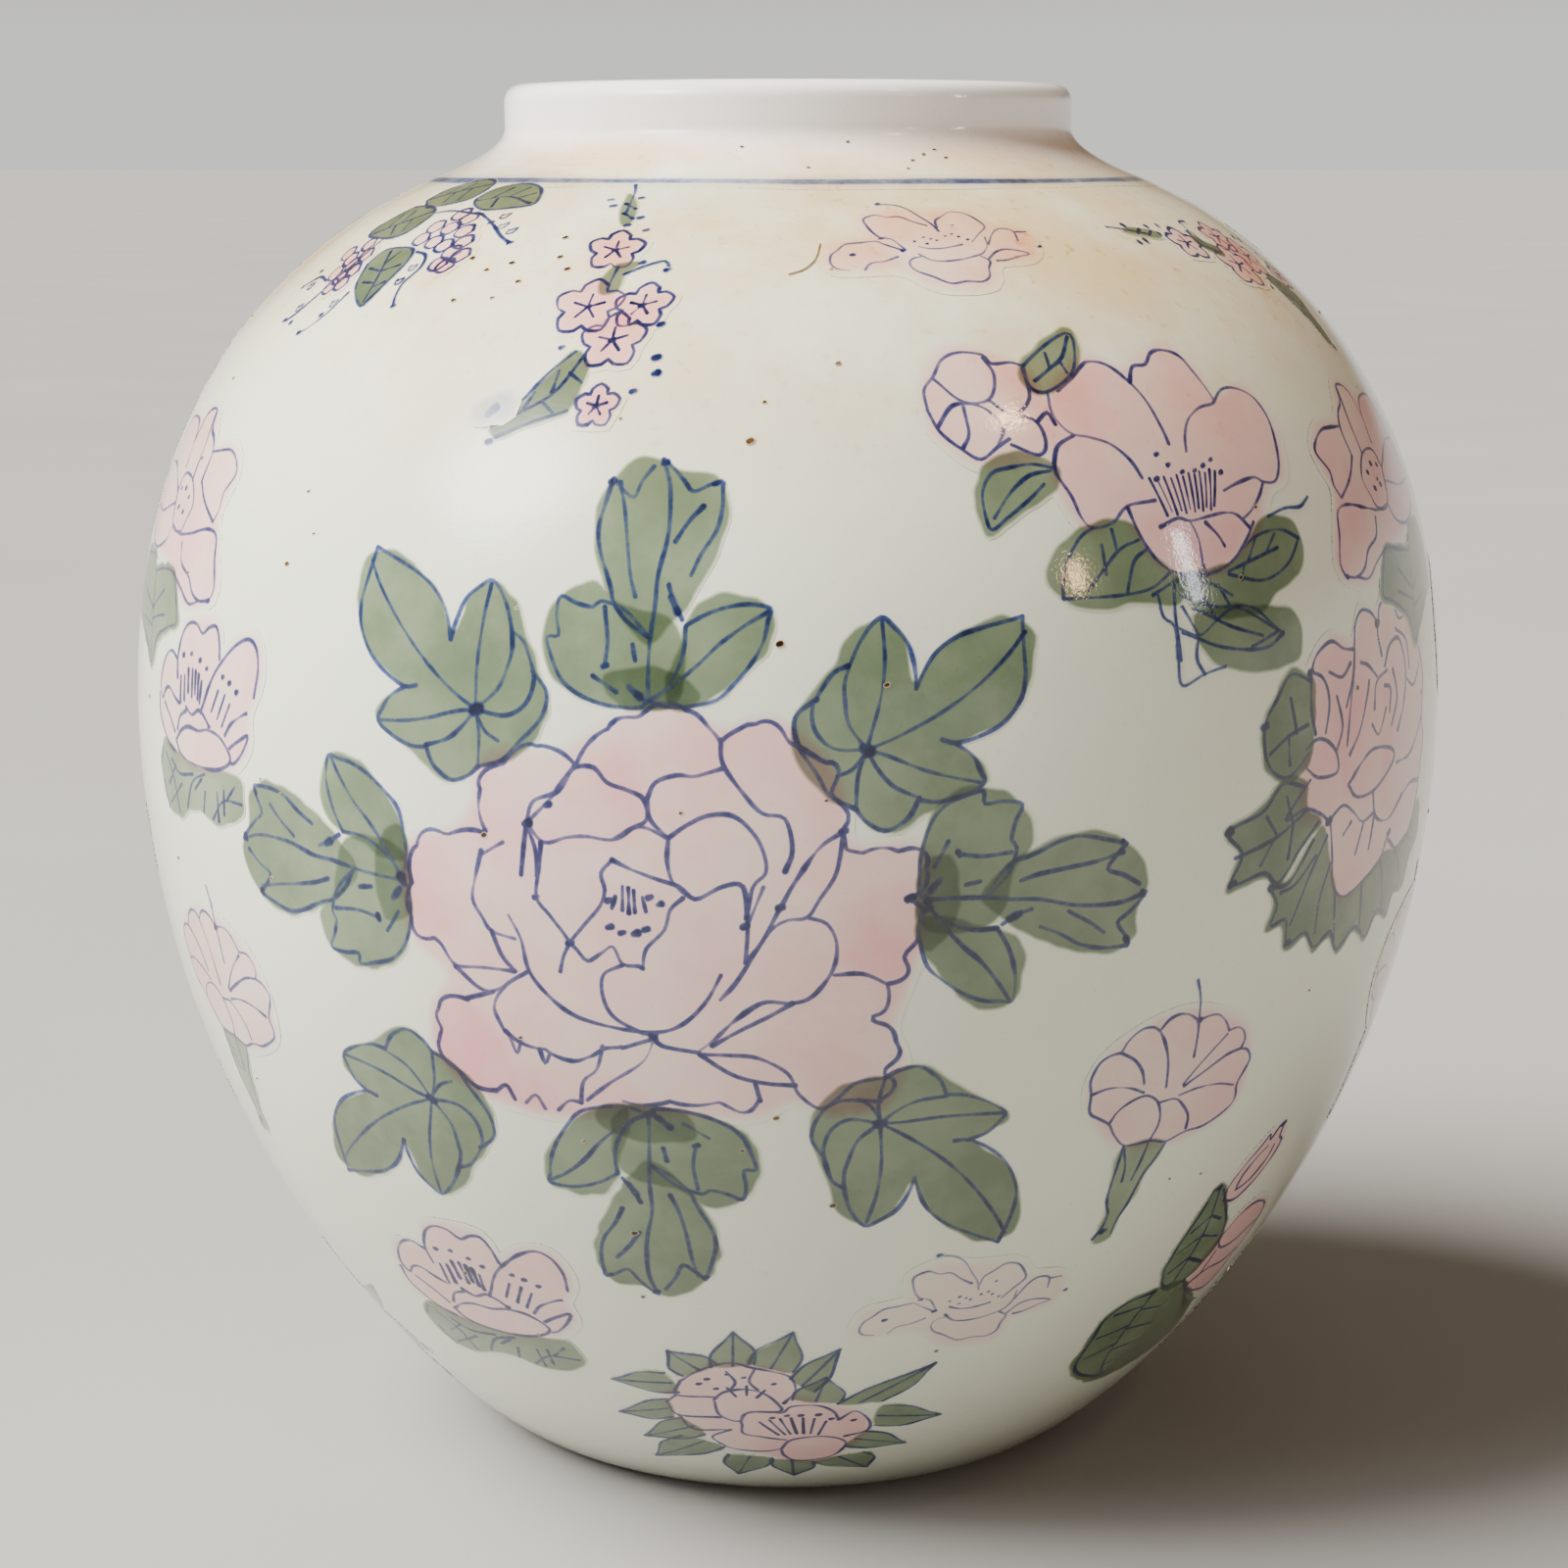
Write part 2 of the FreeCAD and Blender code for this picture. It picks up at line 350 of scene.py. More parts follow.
class Stroke:
    """One brushed or stamped cobalt line."""

    def __init__(self, path, width, strength, dice):
        self.path = path
        n = len(path)
        place = np.arange(n)
        knots = max(3, n // 3)
        uneven = np.interp(place, np.linspace(0, n - 1, knots), dice.normal(0, 1, knots))
        end = np.minimum(place, n - 1 - place) * STROKE_STEP
        pool = np.exp(-((end / 1.1) ** 2))
        self.half = 0.5 * width * (0.94 + 0.17 * uneven + 0.12 * pool)
        self.half = np.maximum(self.half, 0.2 * width)
        self.strength = strength * np.clip(1 + 0.22 * uneven + 0.12 * pool, 0.4, 1.7)

    def loops(self):
        """Closed loops along the line's edge and round its dark core."""
        side = side_normals(self.path)
        ahead = np.stack((side[:, 1], -side[:, 0]), axis=1)
        for share in (1.0, CORE_SHARE):
            half = self.half[:, None] * share
            left = self.path + side * half
            right = self.path - side * half
            turn = np.radians([[-50.0], [0.0], [50.0]])
            cap_ahead, cap_side = np.cos(turn), np.sin(turn)
            start = self.path[:1] - (ahead[:1] * cap_ahead - side[:1] * cap_side) * half[:1]
            finish = self.path[-1:] + (ahead[-1:] * cap_ahead - side[-1:] * cap_side) * half[-1:]
            yield np.concatenate((start, left, finish, right[::-1]))

    def lay(self, points):
        """How much cobalt this line leaves at each point."""
        reach = self.half.max() + 0.05
        low, high = self.path.min(axis=0) - reach, self.path.max(axis=0) + reach
        near = np.flatnonzero(((points > low) & (points < high)).all(axis=1))
        laid = np.zeros(len(points))
        if len(near):
            gap, where = segment_distance(points[near], self.path)
            half = np.interp(where, np.arange(len(self.path)), self.half)
            strength = np.interp(where, np.arange(len(self.path)), self.strength)
            fade = 1 - smoothstep((gap / half - CORE_SHARE) / (0.96 - CORE_SHARE))
            laid[near] = strength * fade
        return laid


class Wash:
    """One patch of thin colour inside a closed outline."""

    def __init__(self, path, density, spread, settle):
        self.path = path
        self.density = density
        self.spread = spread
        self.settle = settle
        area = np.cross(path, np.roll(path, -1, axis=0)).sum()
        self.outward = -side_normals(path, True) * (1 if area > 0 else -1)

    def loops(self):
        """Closed loops where the colour ends, and where it reaches its full depth."""
        yield self.path + self.outward * self.spread
        yield self.path
        yield self.path - self.outward * self.settle

    def lay(self, points):
        """How much of its pigment this wash leaves at each point."""
        low, high = self.path.min(axis=0) - self.spread, self.path.max(axis=0) + self.spread
        near = np.flatnonzero(((points > low) & (points < high)).all(axis=1))
        laid = np.zeros(len(points))
        if len(near):
            gap, _ = segment_distance(points[near], self.path, True)
            depth = np.where(inside(points[near], self.path), gap, -gap)
            cover = (depth + 0.95 * self.spread) / (0.95 * self.spread + self.settle)
            laid[near] = self.density * smoothstep(cover)
        return laid

    def grid(self, dice):
        """Points spread over the inside of the patch."""
        low, high = self.path.min(axis=0), self.path.max(axis=0)
        xs = np.arange(low[0], high[0], GRID_STEP)
        ys = np.arange(low[1], high[1], GRID_STEP * 0.87)
        x, y = np.meshgrid(xs, ys)
        x[1::2] += GRID_STEP / 2
        points = np.stack((x.ravel(), y.ravel()), axis=1)
        if not len(points):
            return points
        points = points + dice.uniform(-0.3, 0.3, points.shape)
        gap, _ = segment_distance(points, self.path, True)
        return points[inside(points, self.path) & (gap > self.settle + 0.7)]


KINDS = ("pink", "green", "lines", "dots", "iron")


def placed(motif, move=(0, 0), turn=0, mirror=False, scale=1.0, fade=1.0):
    """A copy of a motif moved, turned anticlockwise in degrees, mirrored left to right or scaled."""
    c, s = math.cos(math.radians(turn)) * scale, math.sin(math.radians(turn)) * scale
    flip = -1 if mirror else 1

    def put(points):
        return [(c * flip * x - s * y + move[0], s * flip * x + c * y + move[1]) for x, y in points]

    return {kind: [(put(shape[0]),) + scaled(kind, shape, scale, fade) for shape in shapes]
            for kind, shapes in motif.items()}


def scaled(kind, shape, scale, fade):
    """The width and strength of a shape after scaling it and fading it."""
    if kind in ("lines", "dots"):
        return (shape[1] * scale, shape[2] * fade)
    return (shape[1] * fade,)


def together(*motifs):
    """Several motifs as one."""
    return {kind: [shape for m in motifs for shape in m.get(kind, [])] for kind in KINDS}


def ruffled(size, wave, *paths):
    """The same paths with small scallops that swell away from the motif's middle."""
    out = []
    for path in paths:
        fine = curve_through(path, step=0.9)
        side = side_normals(fine)
        middle = fine[len(fine) // 2]
        outward = 1 if (side * middle).sum(axis=1).mean() > 0 else -1
        gone = np.concatenate(([0.0], np.cumsum(np.linalg.norm(np.diff(fine, axis=0), axis=1))))
        bumps = max(1, round(gone[-1] / wave))
        swell = size * (np.abs(np.sin(gone / gone[-1] * math.pi * bumps)) ** 0.8 - 0.35)
        out.append([tuple(point) for point in fine + side * (outward * swell)[:, None]])
    return out


def lines(width, strength, *paths):
    """Brushed lines of one width in mm and one strength of colour."""
    return [(path, width, strength) for path in paths]


def washes(density, *outlines):
    """Patches of thin colour, each inside a closed outline."""
    return [(outline, density) for outline in outlines]


def dots(width, strength, *places):
    """Short thick touches of the brush, one at each place."""
    across, up = 0.25 * width, 0.1 * width
    return [([(x - across, y - up), (x + across, y + up)], width, strength) for x, y in places]


def stack_coats(layers, count):
    """Pigment left by overlapping washes: the deepest one, and part of the others."""
    if not layers:
        return np.zeros(count)
    layers = np.array(layers)
    deepest = layers.max(axis=0)
    return deepest + SECOND_COAT * (layers.sum(axis=0) - deepest)


def paint(name, degrees, along, motif, material, order=0):
    """Lays a motif on the jar as one film, with its middle at this angle and distance along."""
    dice = np.random.default_rng(zlib.crc32(name.encode()))
    field = dice.integers(1 << 30)

    def hand(points, step=STROKE_STEP, closed=False):
        """The curve through these points, moved as the whole motif moves."""
        path = curve_through(points, closed, step)
        return wobble(path, np.random.default_rng(field), 0.35, 30)

    pink = [Wash(hand(o, 1.8, True), d, 1.3, 1.1) for o, d in motif.get("pink", [])]
    green = [Wash(wobble(hand(o, 1.0, True), dice, 0.16, 5), d, 0.28, 0.34)
             for o, d in motif.get("green", [])]
    cobalt = [Stroke(hand(p), w, s, dice) for p, w, s in motif.get("lines", []) + motif.get("dots", [])]
    iron = [Stroke(hand(p), w, s, dice) for p, w, s in motif.get("iron", [])]
    coords, edges = [], []
    for shape in pink + green + cobalt + iron:
        for loop in shape.loops():
            first = len(coords)
            coords.extend(loop.tolist())
            count = len(loop)
            edges.extend((first + i, first + (i + 1) % count) for i in range(count))
    for shape in pink + green:
        coords.extend(shape.grid(dice).tolist())
    flat = delaunay_2d_cdt(coords, edges, [], 0, 0.02, False)
    uv = np.array([v[:] for v in flat[0]])
    faces = np.array(flat[2])
    pigment = np.zeros((len(uv), 4))
    pigment[:, 0] = stack_coats([shape.lay(uv) for shape in pink], len(uv))
    pigment[:, 1] = stack_coats([shape.lay(uv) for shape in green], len(uv))
    for shape in cobalt:
        pigment[:, 2] = np.maximum(pigment[:, 2], shape.lay(uv))
    for shape in iron:
        pigment[:, 3] = np.maximum(pigment[:, 3], shape.lay(uv))
    laid = pigment.sum(axis=1)
    faces = faces[(laid[faces] > COVERAGE_FLOOR).any(axis=1)]
    add_film(name, degrees, along, uv, faces, pigment, material, order)


def add_film(name, degrees, along, uv, faces, pigment, material, order):
    """Wraps a flat film round the jar, with its edges turned down into the glaze."""
    used = np.unique(faces)
    index = np.full(len(uv), -1)
    index[used] = np.arange(len(used))
    uv, pigment, faces = uv[used], pigment[used], index[faces]
    side = np.concatenate((faces[:, [0, 1]], faces[:, [1, 2]], faces[:, [2, 0]]))
    key = np.sort(side, axis=1)
    _, first, uses = np.unique(key[:, 0] * len(uv) + key[:, 1], return_index=True, return_counts=True)
    rim = side[first[uses == 1]]
    down = np.unique(rim)
    below = np.full(len(uv), -1)
    below[down] = len(uv) + np.arange(len(down))
    distance = along + uv[:, 1]
    theta = math.radians(degrees) + uv[:, 0] / np.interp(distance, ALONG, RADIUS)
    top, top_normal = on_jar(theta, distance, FILM_LIFT + FILM_ORDER_STEP * order)
    foot, foot_normal = on_jar(theta[down], distance[down], FILM_FOOT)
    walls = np.stack((rim[:, 1], rim[:, 0], below[rim[:, 0]], below[rim[:, 1]]), axis=1)
    piece = add_piece(
        name,
        np.concatenate((top, foot)),
        faces.tolist() + walls.tolist(),
        np.concatenate((top_normal, foot_normal)),
        material,
    )
    add_pigment(piece, np.concatenate((pigment, pigment[down])))


# ---------------------------------------------------------------- motifs


def peony():
    """The large open peony at the middle of the front."""
    fringe = lines(0.95, 1.0, *ruffled(
        0.75, 6.5,
        [(-13.4, 22.6), (-8.2, 28.7), (-3.8, 29.6), (-1.6, 31.4), (4.6, 31.2), (7.9, 28.1),
         (10.1, 26.4)],
        [(10.1, 26.4), (12.9, 27.6), (15.1, 29.2), (17.9, 29.2), (20.7, 26.4), (23.4, 24.2),
         (27.3, 22.6), (26.8, 18.7), (29, 15.3), (28.7, 12.9)],
        [(28.7, 12.9), (29, 9.8), (32.9, 9.8), (39.6, 9.6), (41.8, 7.6), (40.7, 3.7), (39, 2)],
        [(39, 2), (40.7, -.8), (40.1, -4.7), (38.4, -7.4), (38.4, -10.8), (35.7, -13)],
        [(35.7, -13), (34.6, -16.9), (32.9, -18.9), (35.7, -20.8), (37.1, -24.1), (35.1, -27.4),
         (36.4, -30.2), (34.6, -33.6)],
        [(-29.7, 10.3), (-34.9, 9.4), (-39.6, 9.2), (-42.1, 6.4), (-43.2, .9)],
        [(-43.2, .9), (-44, -4), (-42.7, -7.4), (-38.2, -8.6), (-36, -12.4)],
        [(-33.8, -18), (-38.2, -19.1), (-39.6, -21.9), (-38.4, -24.7), (-39.7, -27.4), (-37.7, -30.8),
         (-33.8, -33.6), (-29.9, -34.7)],
        [(-7.1, -24.7), (-10.4, -24.7), (-13.8, -27.4), (-18.8, -26.7), (-23.2, -25.2), (-27.1, -23.6)],
        [(14.6, -33), (11.8, -34.7), (7.9, -33.6), (-.4, -34.1), (-7.1, -34.7)],
        [(-13.4, 22.6), (-17.1, 24.2), (-20.4, 25), (-23.8, 22.6), (-29.3, 18.7), (-29.7, 15.3),
         (-29.3, 10.3)],
    ))
    back = lines(
        0.95, 1.0,
        [(10.1, 26.4), (10.3, 22.6), (13.4, 18.1), (16.2, 15.3), (19.6, 14.6), (21, 9.8), (20.1, 6.4)],
        [(-13.4, 22.6), (-16, 18.1), (-20.4, 15.9), (-21.8, 12.2)],
        [(-21.8, 12.2), (-17.7, 16.4), (-14.9, 20.3), (-13.2, 22), (-10.4, 22), (-8.2, 19.8),
         (-4.9, 18.7), (-2.1, 17.3), (-1.6, 14.2), (-3.8, 12.9), (-7.1, 10.9), (-11.6, 11.1),
         (-14.9, 10.6), (-18.8, 9.4), (-21.8, 12.2)],
        [(-1.6, 17.3), (-.4, 19.8), (2.9, 20.9), (5.7, 20.7), (8.4, 21.4), (10.3, 22)],
        [(-1.6, 17.3), (-1, 14.2), (1.8, 11.4)],
        [(1.8, 11.4), (4.6, 13.3), (7.9, 14.8), (11.8, 14.8), (15.1, 12), (16.8, 8.7), (17, 5.9),
         (15.1, 3.7), (13.8, -1.6)],
        [(1.8, 11.4), (1.4, 7.6), (2.1, 4.2), (4.6, 2), (6.2, 1.8), (10.1, 3.7), (13.4, 3.7),
         (14, -1.9), (13.4, -9.1)],
        [(-7.1, 10.9), (-3.8, 12.9), (-1.6, 12.9), (1.8, 11.4)],
    )
    heart = lines(
        0.9, 1.05,
        [(-7.4, 7.6), (-9.3, 5.3), (-8.8, 2.6), (-9.6, -.2), (-11.6, -3), (-14, -6.3)],
        [(-7.4, 7.6), (-4.3, 6.2), (-.4, 4.8), (2.9, 3.7), (4.6, 2)],
        [(3.4, 1.8), (1.2, -.2), (.1, -3.6), (-2.7, -6.9), (-3.2, -10.2)],
        [(-19.3, 9.4), (-19.6, 5.3), (-19.9, .3), (-17.7, -2.4), (-15.4, -5.2), (-14.3, -6.9)],
        [(-21.8, 12), (-22.3, 8.7), (-22.7, 3.7)],
        [(-21.8, 12), (-20.3, 8), (-19.9, 3.7)],
        [(-14.3, -6.9), (-15.4, -9.1), (-16.2, -11.9)],
        [(-14.3, -6.9), (-13.2, -8), (-11.6, -9.7), (-9.3, -8), (-7.7, -6.9), (-6.3, -9.7),
         (-3.8, -9.9), (-3.2, -10.2)],
        [(-6.3, -9.9), (-9.3, -11.9), (-9.6, -15.8), (-8.2, -19.1), (-4.3, -21.3), (-1.6, -21.9)],
        [(-24.9, -3), (-22.7, -6.9), (-21.6, -12.4), (-18.2, -16.9), (-14.3, -19.7), (-8.2, -21.1),
         (-1.6, -21.3), (2.9, -19.7), (6.8, -15.8), (9.3, -11.1)],
    )
    right = lines(
        0.95, 1.0,
        [(13.4, -9.1), (16.2, -5.8), (19.6, .3), (21.8, 4.8), (25.1, 10.3), (28.7, 12.9)],
        [(16.8, 3.7), (15.5, .5), (13.8, -3.2)],
        [(28.7, 12.9), (27.9, 6.4), (25.7, 2), (23.8, -1.3), (20.7, -1.9), (17.9, -3.6),
         (15.1, -7.4), (11.8, -12.4), (9.3, -15.2)],
        [(23.8, -1.3), (26.8, -2.4), (28.1, -5.8), (27.3, -10.2), (24, -14.7), (20.7, -16),
         (16.2, -15.8), (11.8, -18.6), (8.4, -21.9), (5.3, -24.4)],
        [(20.7, -16), (17.3, -18), (12.9, -20.2), (7.9, -23)],
        [(35.7, -13), (31.8, -11.1), (27.3, -11.3)],
        [(34.6, -33.6), (28.4, -33.3), (24.6, -34.7), (21.2, -31.9), (19.6, -28), (15.1, -25.2),
         (10.7, -24.7), (5.7, -24.7)],
        [(5.7, -24.7), (10.7, -28.2), (15.7, -29.7), (20.7, -30.2)],
        [(-1.6, -22), (-.4, -23.6), (5.7, -24.4)],
        [(14.2, -29.7), (14.6, -33)],
    )
    left = lines(
        0.95, 0.95,
        [(-1.6, -22.4), (-3.8, -26.9), (-9.3, -31.3), (-13.2, -34.7)],
        [(-1.6, -22.4), (-7.1, -24.7)],
        [(-27.1, -23.6), (-28.8, -19.1), (-26.6, -15.2), (-22.1, -12.4)],
        [(-10.4, -24.7), (-11.6, -29.1), (-13.8, -31.3), (-14.3, -35.2)],
        [(-28.8, -16.3), (-33.8, -18)],
        [(-36, -12.4), (-30.4, -12.1), (-24.3, -12.4)],
        [(-29.9, 7), (-31, 2.6), (-31.6, -.8), (-29.9, -3.6), (-28.2, -5.8), (-23.8, -6.9)],
        [(-28.2, -5.8), (-26.6, -9.7), (-24.3, -12.4)],
        [(-26, 8.7), (-29.9, 6.4)],
        [(-36, -12.4), (-29.9, -16.3), (-23.2, -13)],
        [(-29.9, -34.7), (-27.8, -33.2), (-26.5, -35.6)],
        [(-24.5, -36), (-22.5, -34.4), (-21, -36.8)],
        [(-18.5, -36.8), (-16.4, -35), (-14.3, -35.2)],
        [(-26.2, -24.6), (-25.2, -27.2), (-24.4, -24.9)],
        [(-21.2, -26.2), (-20.4, -28.6), (-19.4, -26.6)],
    )
    stamens = lines(
        0.85, 1.2,
        [(-6, 3.4), (-6.2, -.6)], [(-5.1, 3.2), (-5.2, -1)], [(-4.3, 2.8), (-4.3, -.8)],
        [(-7.2, 1.6), (-7.8, -.4)], [(-3, 1.8), (-2.6, -.6)],
    )
    spots = dots(
        1.25, 1.25,
        (-8.2, .9), (-1.9, 1.8), (-8.2, -3.6), (-6.3, -4.4), (-4.3, -4.4), (-2.7, -3.6), (-.4, .7),
    )
    pools = dots(
        1.35, 1.35,
        (-19.9, .3), (39, 2), (19.6, .3), (-21.8, 12.2), (-18, 15.6), (-1.6, -21.8), (28.7, 12.9),
        (13.5, -3), (-14.3, -6.9), (41.8, 0),
    )
    wash = washes(
        0.85,
        [(-25, 24), (-16, 24.5), (-9, 29), (-1, 32), (5, 31.5), (10, 28), (18, 30), (25, 25),
         (29, 18), (30, 11), (40, 10.5), (43, 6), (41.5, -5), (38.5, -13), (36, -20), (38, -26),
         (36, -34), (27, -36), (20, -33), (13, -36), (0, -36.5), (-12, -38), (-22, -37.5),
         (-32, -35.5), (-40, -30), (-40.5, -21), (-37.5, -14), (-44, -8), (-45, 0), (-42.5, 8),
         (-35, 10.5), (-31, 15), (-30, 20)],
    )
    deep = washes(
        0.55,
        [(-14, 22), (-6, 26), (-2, 20), (-2, 12), (-9, 9), (-18, 10)],
        [(-43, 6), (-37, 8), (-33, 2), (-34, -6), (-41, -8), (-44, -2)],
        [(-40, -20), (-34, -18), (-28, -25), (-26, -34), (-34, -35), (-39, -30)],
        [(31, 2), (39, 4), (40, -6), (36, -12), (29, -9), (28, -4)],
        [(-27, -31), (-18, -29), (-8, -30), (-4, -35), (-14, -37.5), (-25, -37)],
    )
    return {"pink": wash + deep, "lines": fringe + back + heart + right + left + stamens,
            "dots": spots + pools}


def lobed_leaf():
    """Five-lobed leaf, its veins meeting at the middle and its long lobe up and to the left."""
    outline = lines(
        0.95, 1.0,
        [(-5.5, 10.7), (-6.4, 14.2), (-8, 17.3), (-11.1, 20.1), (-15.5, 22.3), (-20.8, 24.5)],
        [(-20.8, 24.5), (-22.5, 18.9), (-23.3, 15.4), (-23.1, 11.7), (-21.1, 7.6), (-18, 4.8),
         (-14.3, 2.9), (-11.8, 3.1)],
        [(-5.5, 10.7), (-4.7, 13.6), (-3, 17.3), (-.5, 19.5), (2, 20.7), (4.2, 17.9), (5.4, 14.2),
         (5.8, 10.4), (5.1, 7.3), (3.6, 3.5), (0, 0)],
        [(5.8, 12.9), (7.6, 11.7), (8.9, 8.6), (9.5, 5.4), (8.3, 1.7), (5.1, -.5), (0, 0)],
        [(9.2, 7), (11.4, 4.2), (11.5, 1.7), (10.1, -1.5), (7, -4.9), (4.5, -7.7), (.1, -9)],
        [(.1, -9), (-1.7, -10.5), (-4.9, -11.5), (-7.4, -10.2), (-8.9, -8.6), (-9.9, -6.1)],
        [(-13.9, 2.9), (-17.1, 1.4), (-18.9, -.8), (-19.8, -2.7), (-16.8, -4.9), (-13, -6.3),
         (-9.9, -6.4)],
    )
    veins = lines(
        0.8, 0.95,
        [(-21.8, 22.3), (-19.6, 18.2), (-15.5, 12.6), (-10.5, 7.3), (-4.9, 2.9), (0, 0)],
        [(1.7, 20.1), (.4, 14.2), (-.2, 7.3), (0, .5)],
        [(0, -.5), (1.7, -3.3), (3.9, -4.6)],
        [(0, 0), (.6, -4), (.1, -9)],
        [(-9.9, -6.1), (-5.5, -4.9), (-2.4, -2.7), (0, 0)],
        [(-19.5, -2.6), (-14.3, -2.4), (-9.3, -1.8), (-3.6, -.5), (0, 0)],
    )
    wash = washes(
        1.0,
        [(-23.5, 22), (-24, 14), (-21, 7.5), (-15, 3), (-19.5, 0), (-20, -3), (-15, -6),
         (-11, -8.5), (-8, -11), (-4, -11.8), (0, -9.5), (5, -8), (10, -4), (12, 2), (10, 8),
         (8, 13), (7, 17), (5, 19), (2, 20.5), (-2, 18.5), (-5, 12), (-8, 17.5), (-13, 22),
         (-18, 24.3)],
    )
    return {"green": wash, "lines": outline + veins, "dots": dots(2.0, 1.5, (0, 0))}


def spiky_leaves():
    """Cluster of three leaves growing up from one point, the middle one tall and toothed."""
    tall = lines(
        0.95, 1.0,
        [(-6.8, 34.5), (-7.8, 31.1), (-8.8, 26.4), (-8.1, 22.6), (-6.8, 19.5), (-5.9, 17),
         (-5.3, 14.8), (-2.8, 12), (.1, 10.1)],
        [(-6.8, 34.5), (-5.3, 32.9), (-3.1, 31.4), (-1.8, 34.2), (.1, 37)],
        [(1.6, 38.3), (3.2, 37), (5.1, 34.8), (6.6, 32.9), (9.1, 34.2), (10.7, 34.8)],
        [(11, 34.5), (11, 30.1), (10.1, 26.4), (7.9, 22.9), (6.3, 19.5)],
        [(1.9, 37.5), (2.9, 33.9), (3, 29.5), (2.6, 25.1), (1.3, 19.5), (1, 14.5), (.4, 9.5),
         (.1, 4.5), (0, 0)],
        [(-5.6, 33.9), (-4.6, 29.5), (-3.9, 24.5), (-3.1, 19.5), (-2.1, 16.1)],
        [(8.2, 30.4), (6, 27.9), (3.8, 24.5)],
        [(3, 18), (3.8, 15.7), (5.4, 12.9)],
    ) + lines(1.5, 1.3, [(3.5, 16.2), (4.6, 14)], [(-3.2, 2.2), (-1.4, .6)])
    broad = lines(
        0.9, 0.95,
        [(.1, 10.1), (-3.4, 13.9), (-7.4, 15.4), (-8.7, 14.5), (-11.5, 15.1), (-14, 16.1),
         (-14.6, 13.2), (-14.3, 10.1), (-16.2, 9.8), (-15.6, 7), (-14, 3.2), (-10.9, .7),
         (-6.5, -.8), (-1.5, -1.1), (0, 0)],
        [(-6.8, 14.5), (-6.4, 9.5), (-7, 5.5)], [(-2.4, 8.9), (-2, 6.4)], [(-9, 3.9), (-5.3, 1.4)],
    )
    almond = lines(
        0.9, 0.95,
        [(6, 12), (9.1, 13.9), (12.3, 15.1), (15.4, 15.6), (18.8, 15.1), (18.6, 13.2),
         (18.2, 10.1), (16.6, 6.4), (14.1, 2.9), (11.6, .4), (7.3, -.8), (3.5, -1), (0, 0)],
        [(6, 12), (6, 8.2), (4.8, 4.5), (2.6, 1.4), (0, 0)],
        [(18.5, 14.5), (15.4, 12.6), (11.6, 9.5), (8.5, 6.1), (4.1, 2.3), (0, 0)],
    )
    pools = dots(1.25, 1.4, (-6.8, 34), (1.9, 37.7), (10, 34.5), (-7, 5.5)) + dots(
        1.8, 1.4, (0, 0))
    wash = washes(
        0.95,
        [(-9.5, 27), (-8, 33), (-4, 37.5), (0, 38.8), (3.5, 37), (6, 36.5), (9.5, 36), (12, 32),
         (11.5, 26), (9, 20), (5, 13.5), (0, 9), (-5, 14), (-8, 20)],
        [(-4, 15), (-9, 18.5), (-15, 15), (-17, 9), (-15, 3), (-9, -.5), (-2, -1.5), (3, -1.5),
         (6, 2), (6, 9), (3, 13)],
        [(6, 12.5), (9, 16.5), (14, 17), (19, 15), (19.5, 10), (17, 6), (10, 0), (4, -1.5), (3, 3),
         (5, 8)],
        [(-7, 4), (0, 5.5), (6, 4), (9, 1), (7, -1.2), (1, -1.5), (-5, -1)],
    )
    return {"green": wash, "lines": tall + broad + almond, "dots": pools}


def front_spray():
    """The peony and the eight leaves that stand round it, about the flower's middle."""
    leaf, spikes = lobed_leaf(), spiky_leaves()
    return together(
        peony(),
        placed(leaf, move=(-29.8, 29.7)),
        placed(leaf, move=(34.6, -38), turn=175),
        placed(leaf, move=(32.3, 25), turn=-10, mirror=True),
        placed(leaf, move=(-42.6, -38.3), turn=172, mirror=True),
        placed(spikes, move=(-2, 32.5)),
        placed(spikes, move=(41.5, 1.6), turn=-90),
        placed(spikes, move=(-3, -36.5), turn=180),
        placed(spikes, move=(-44.8, 1), turn=90),
    )


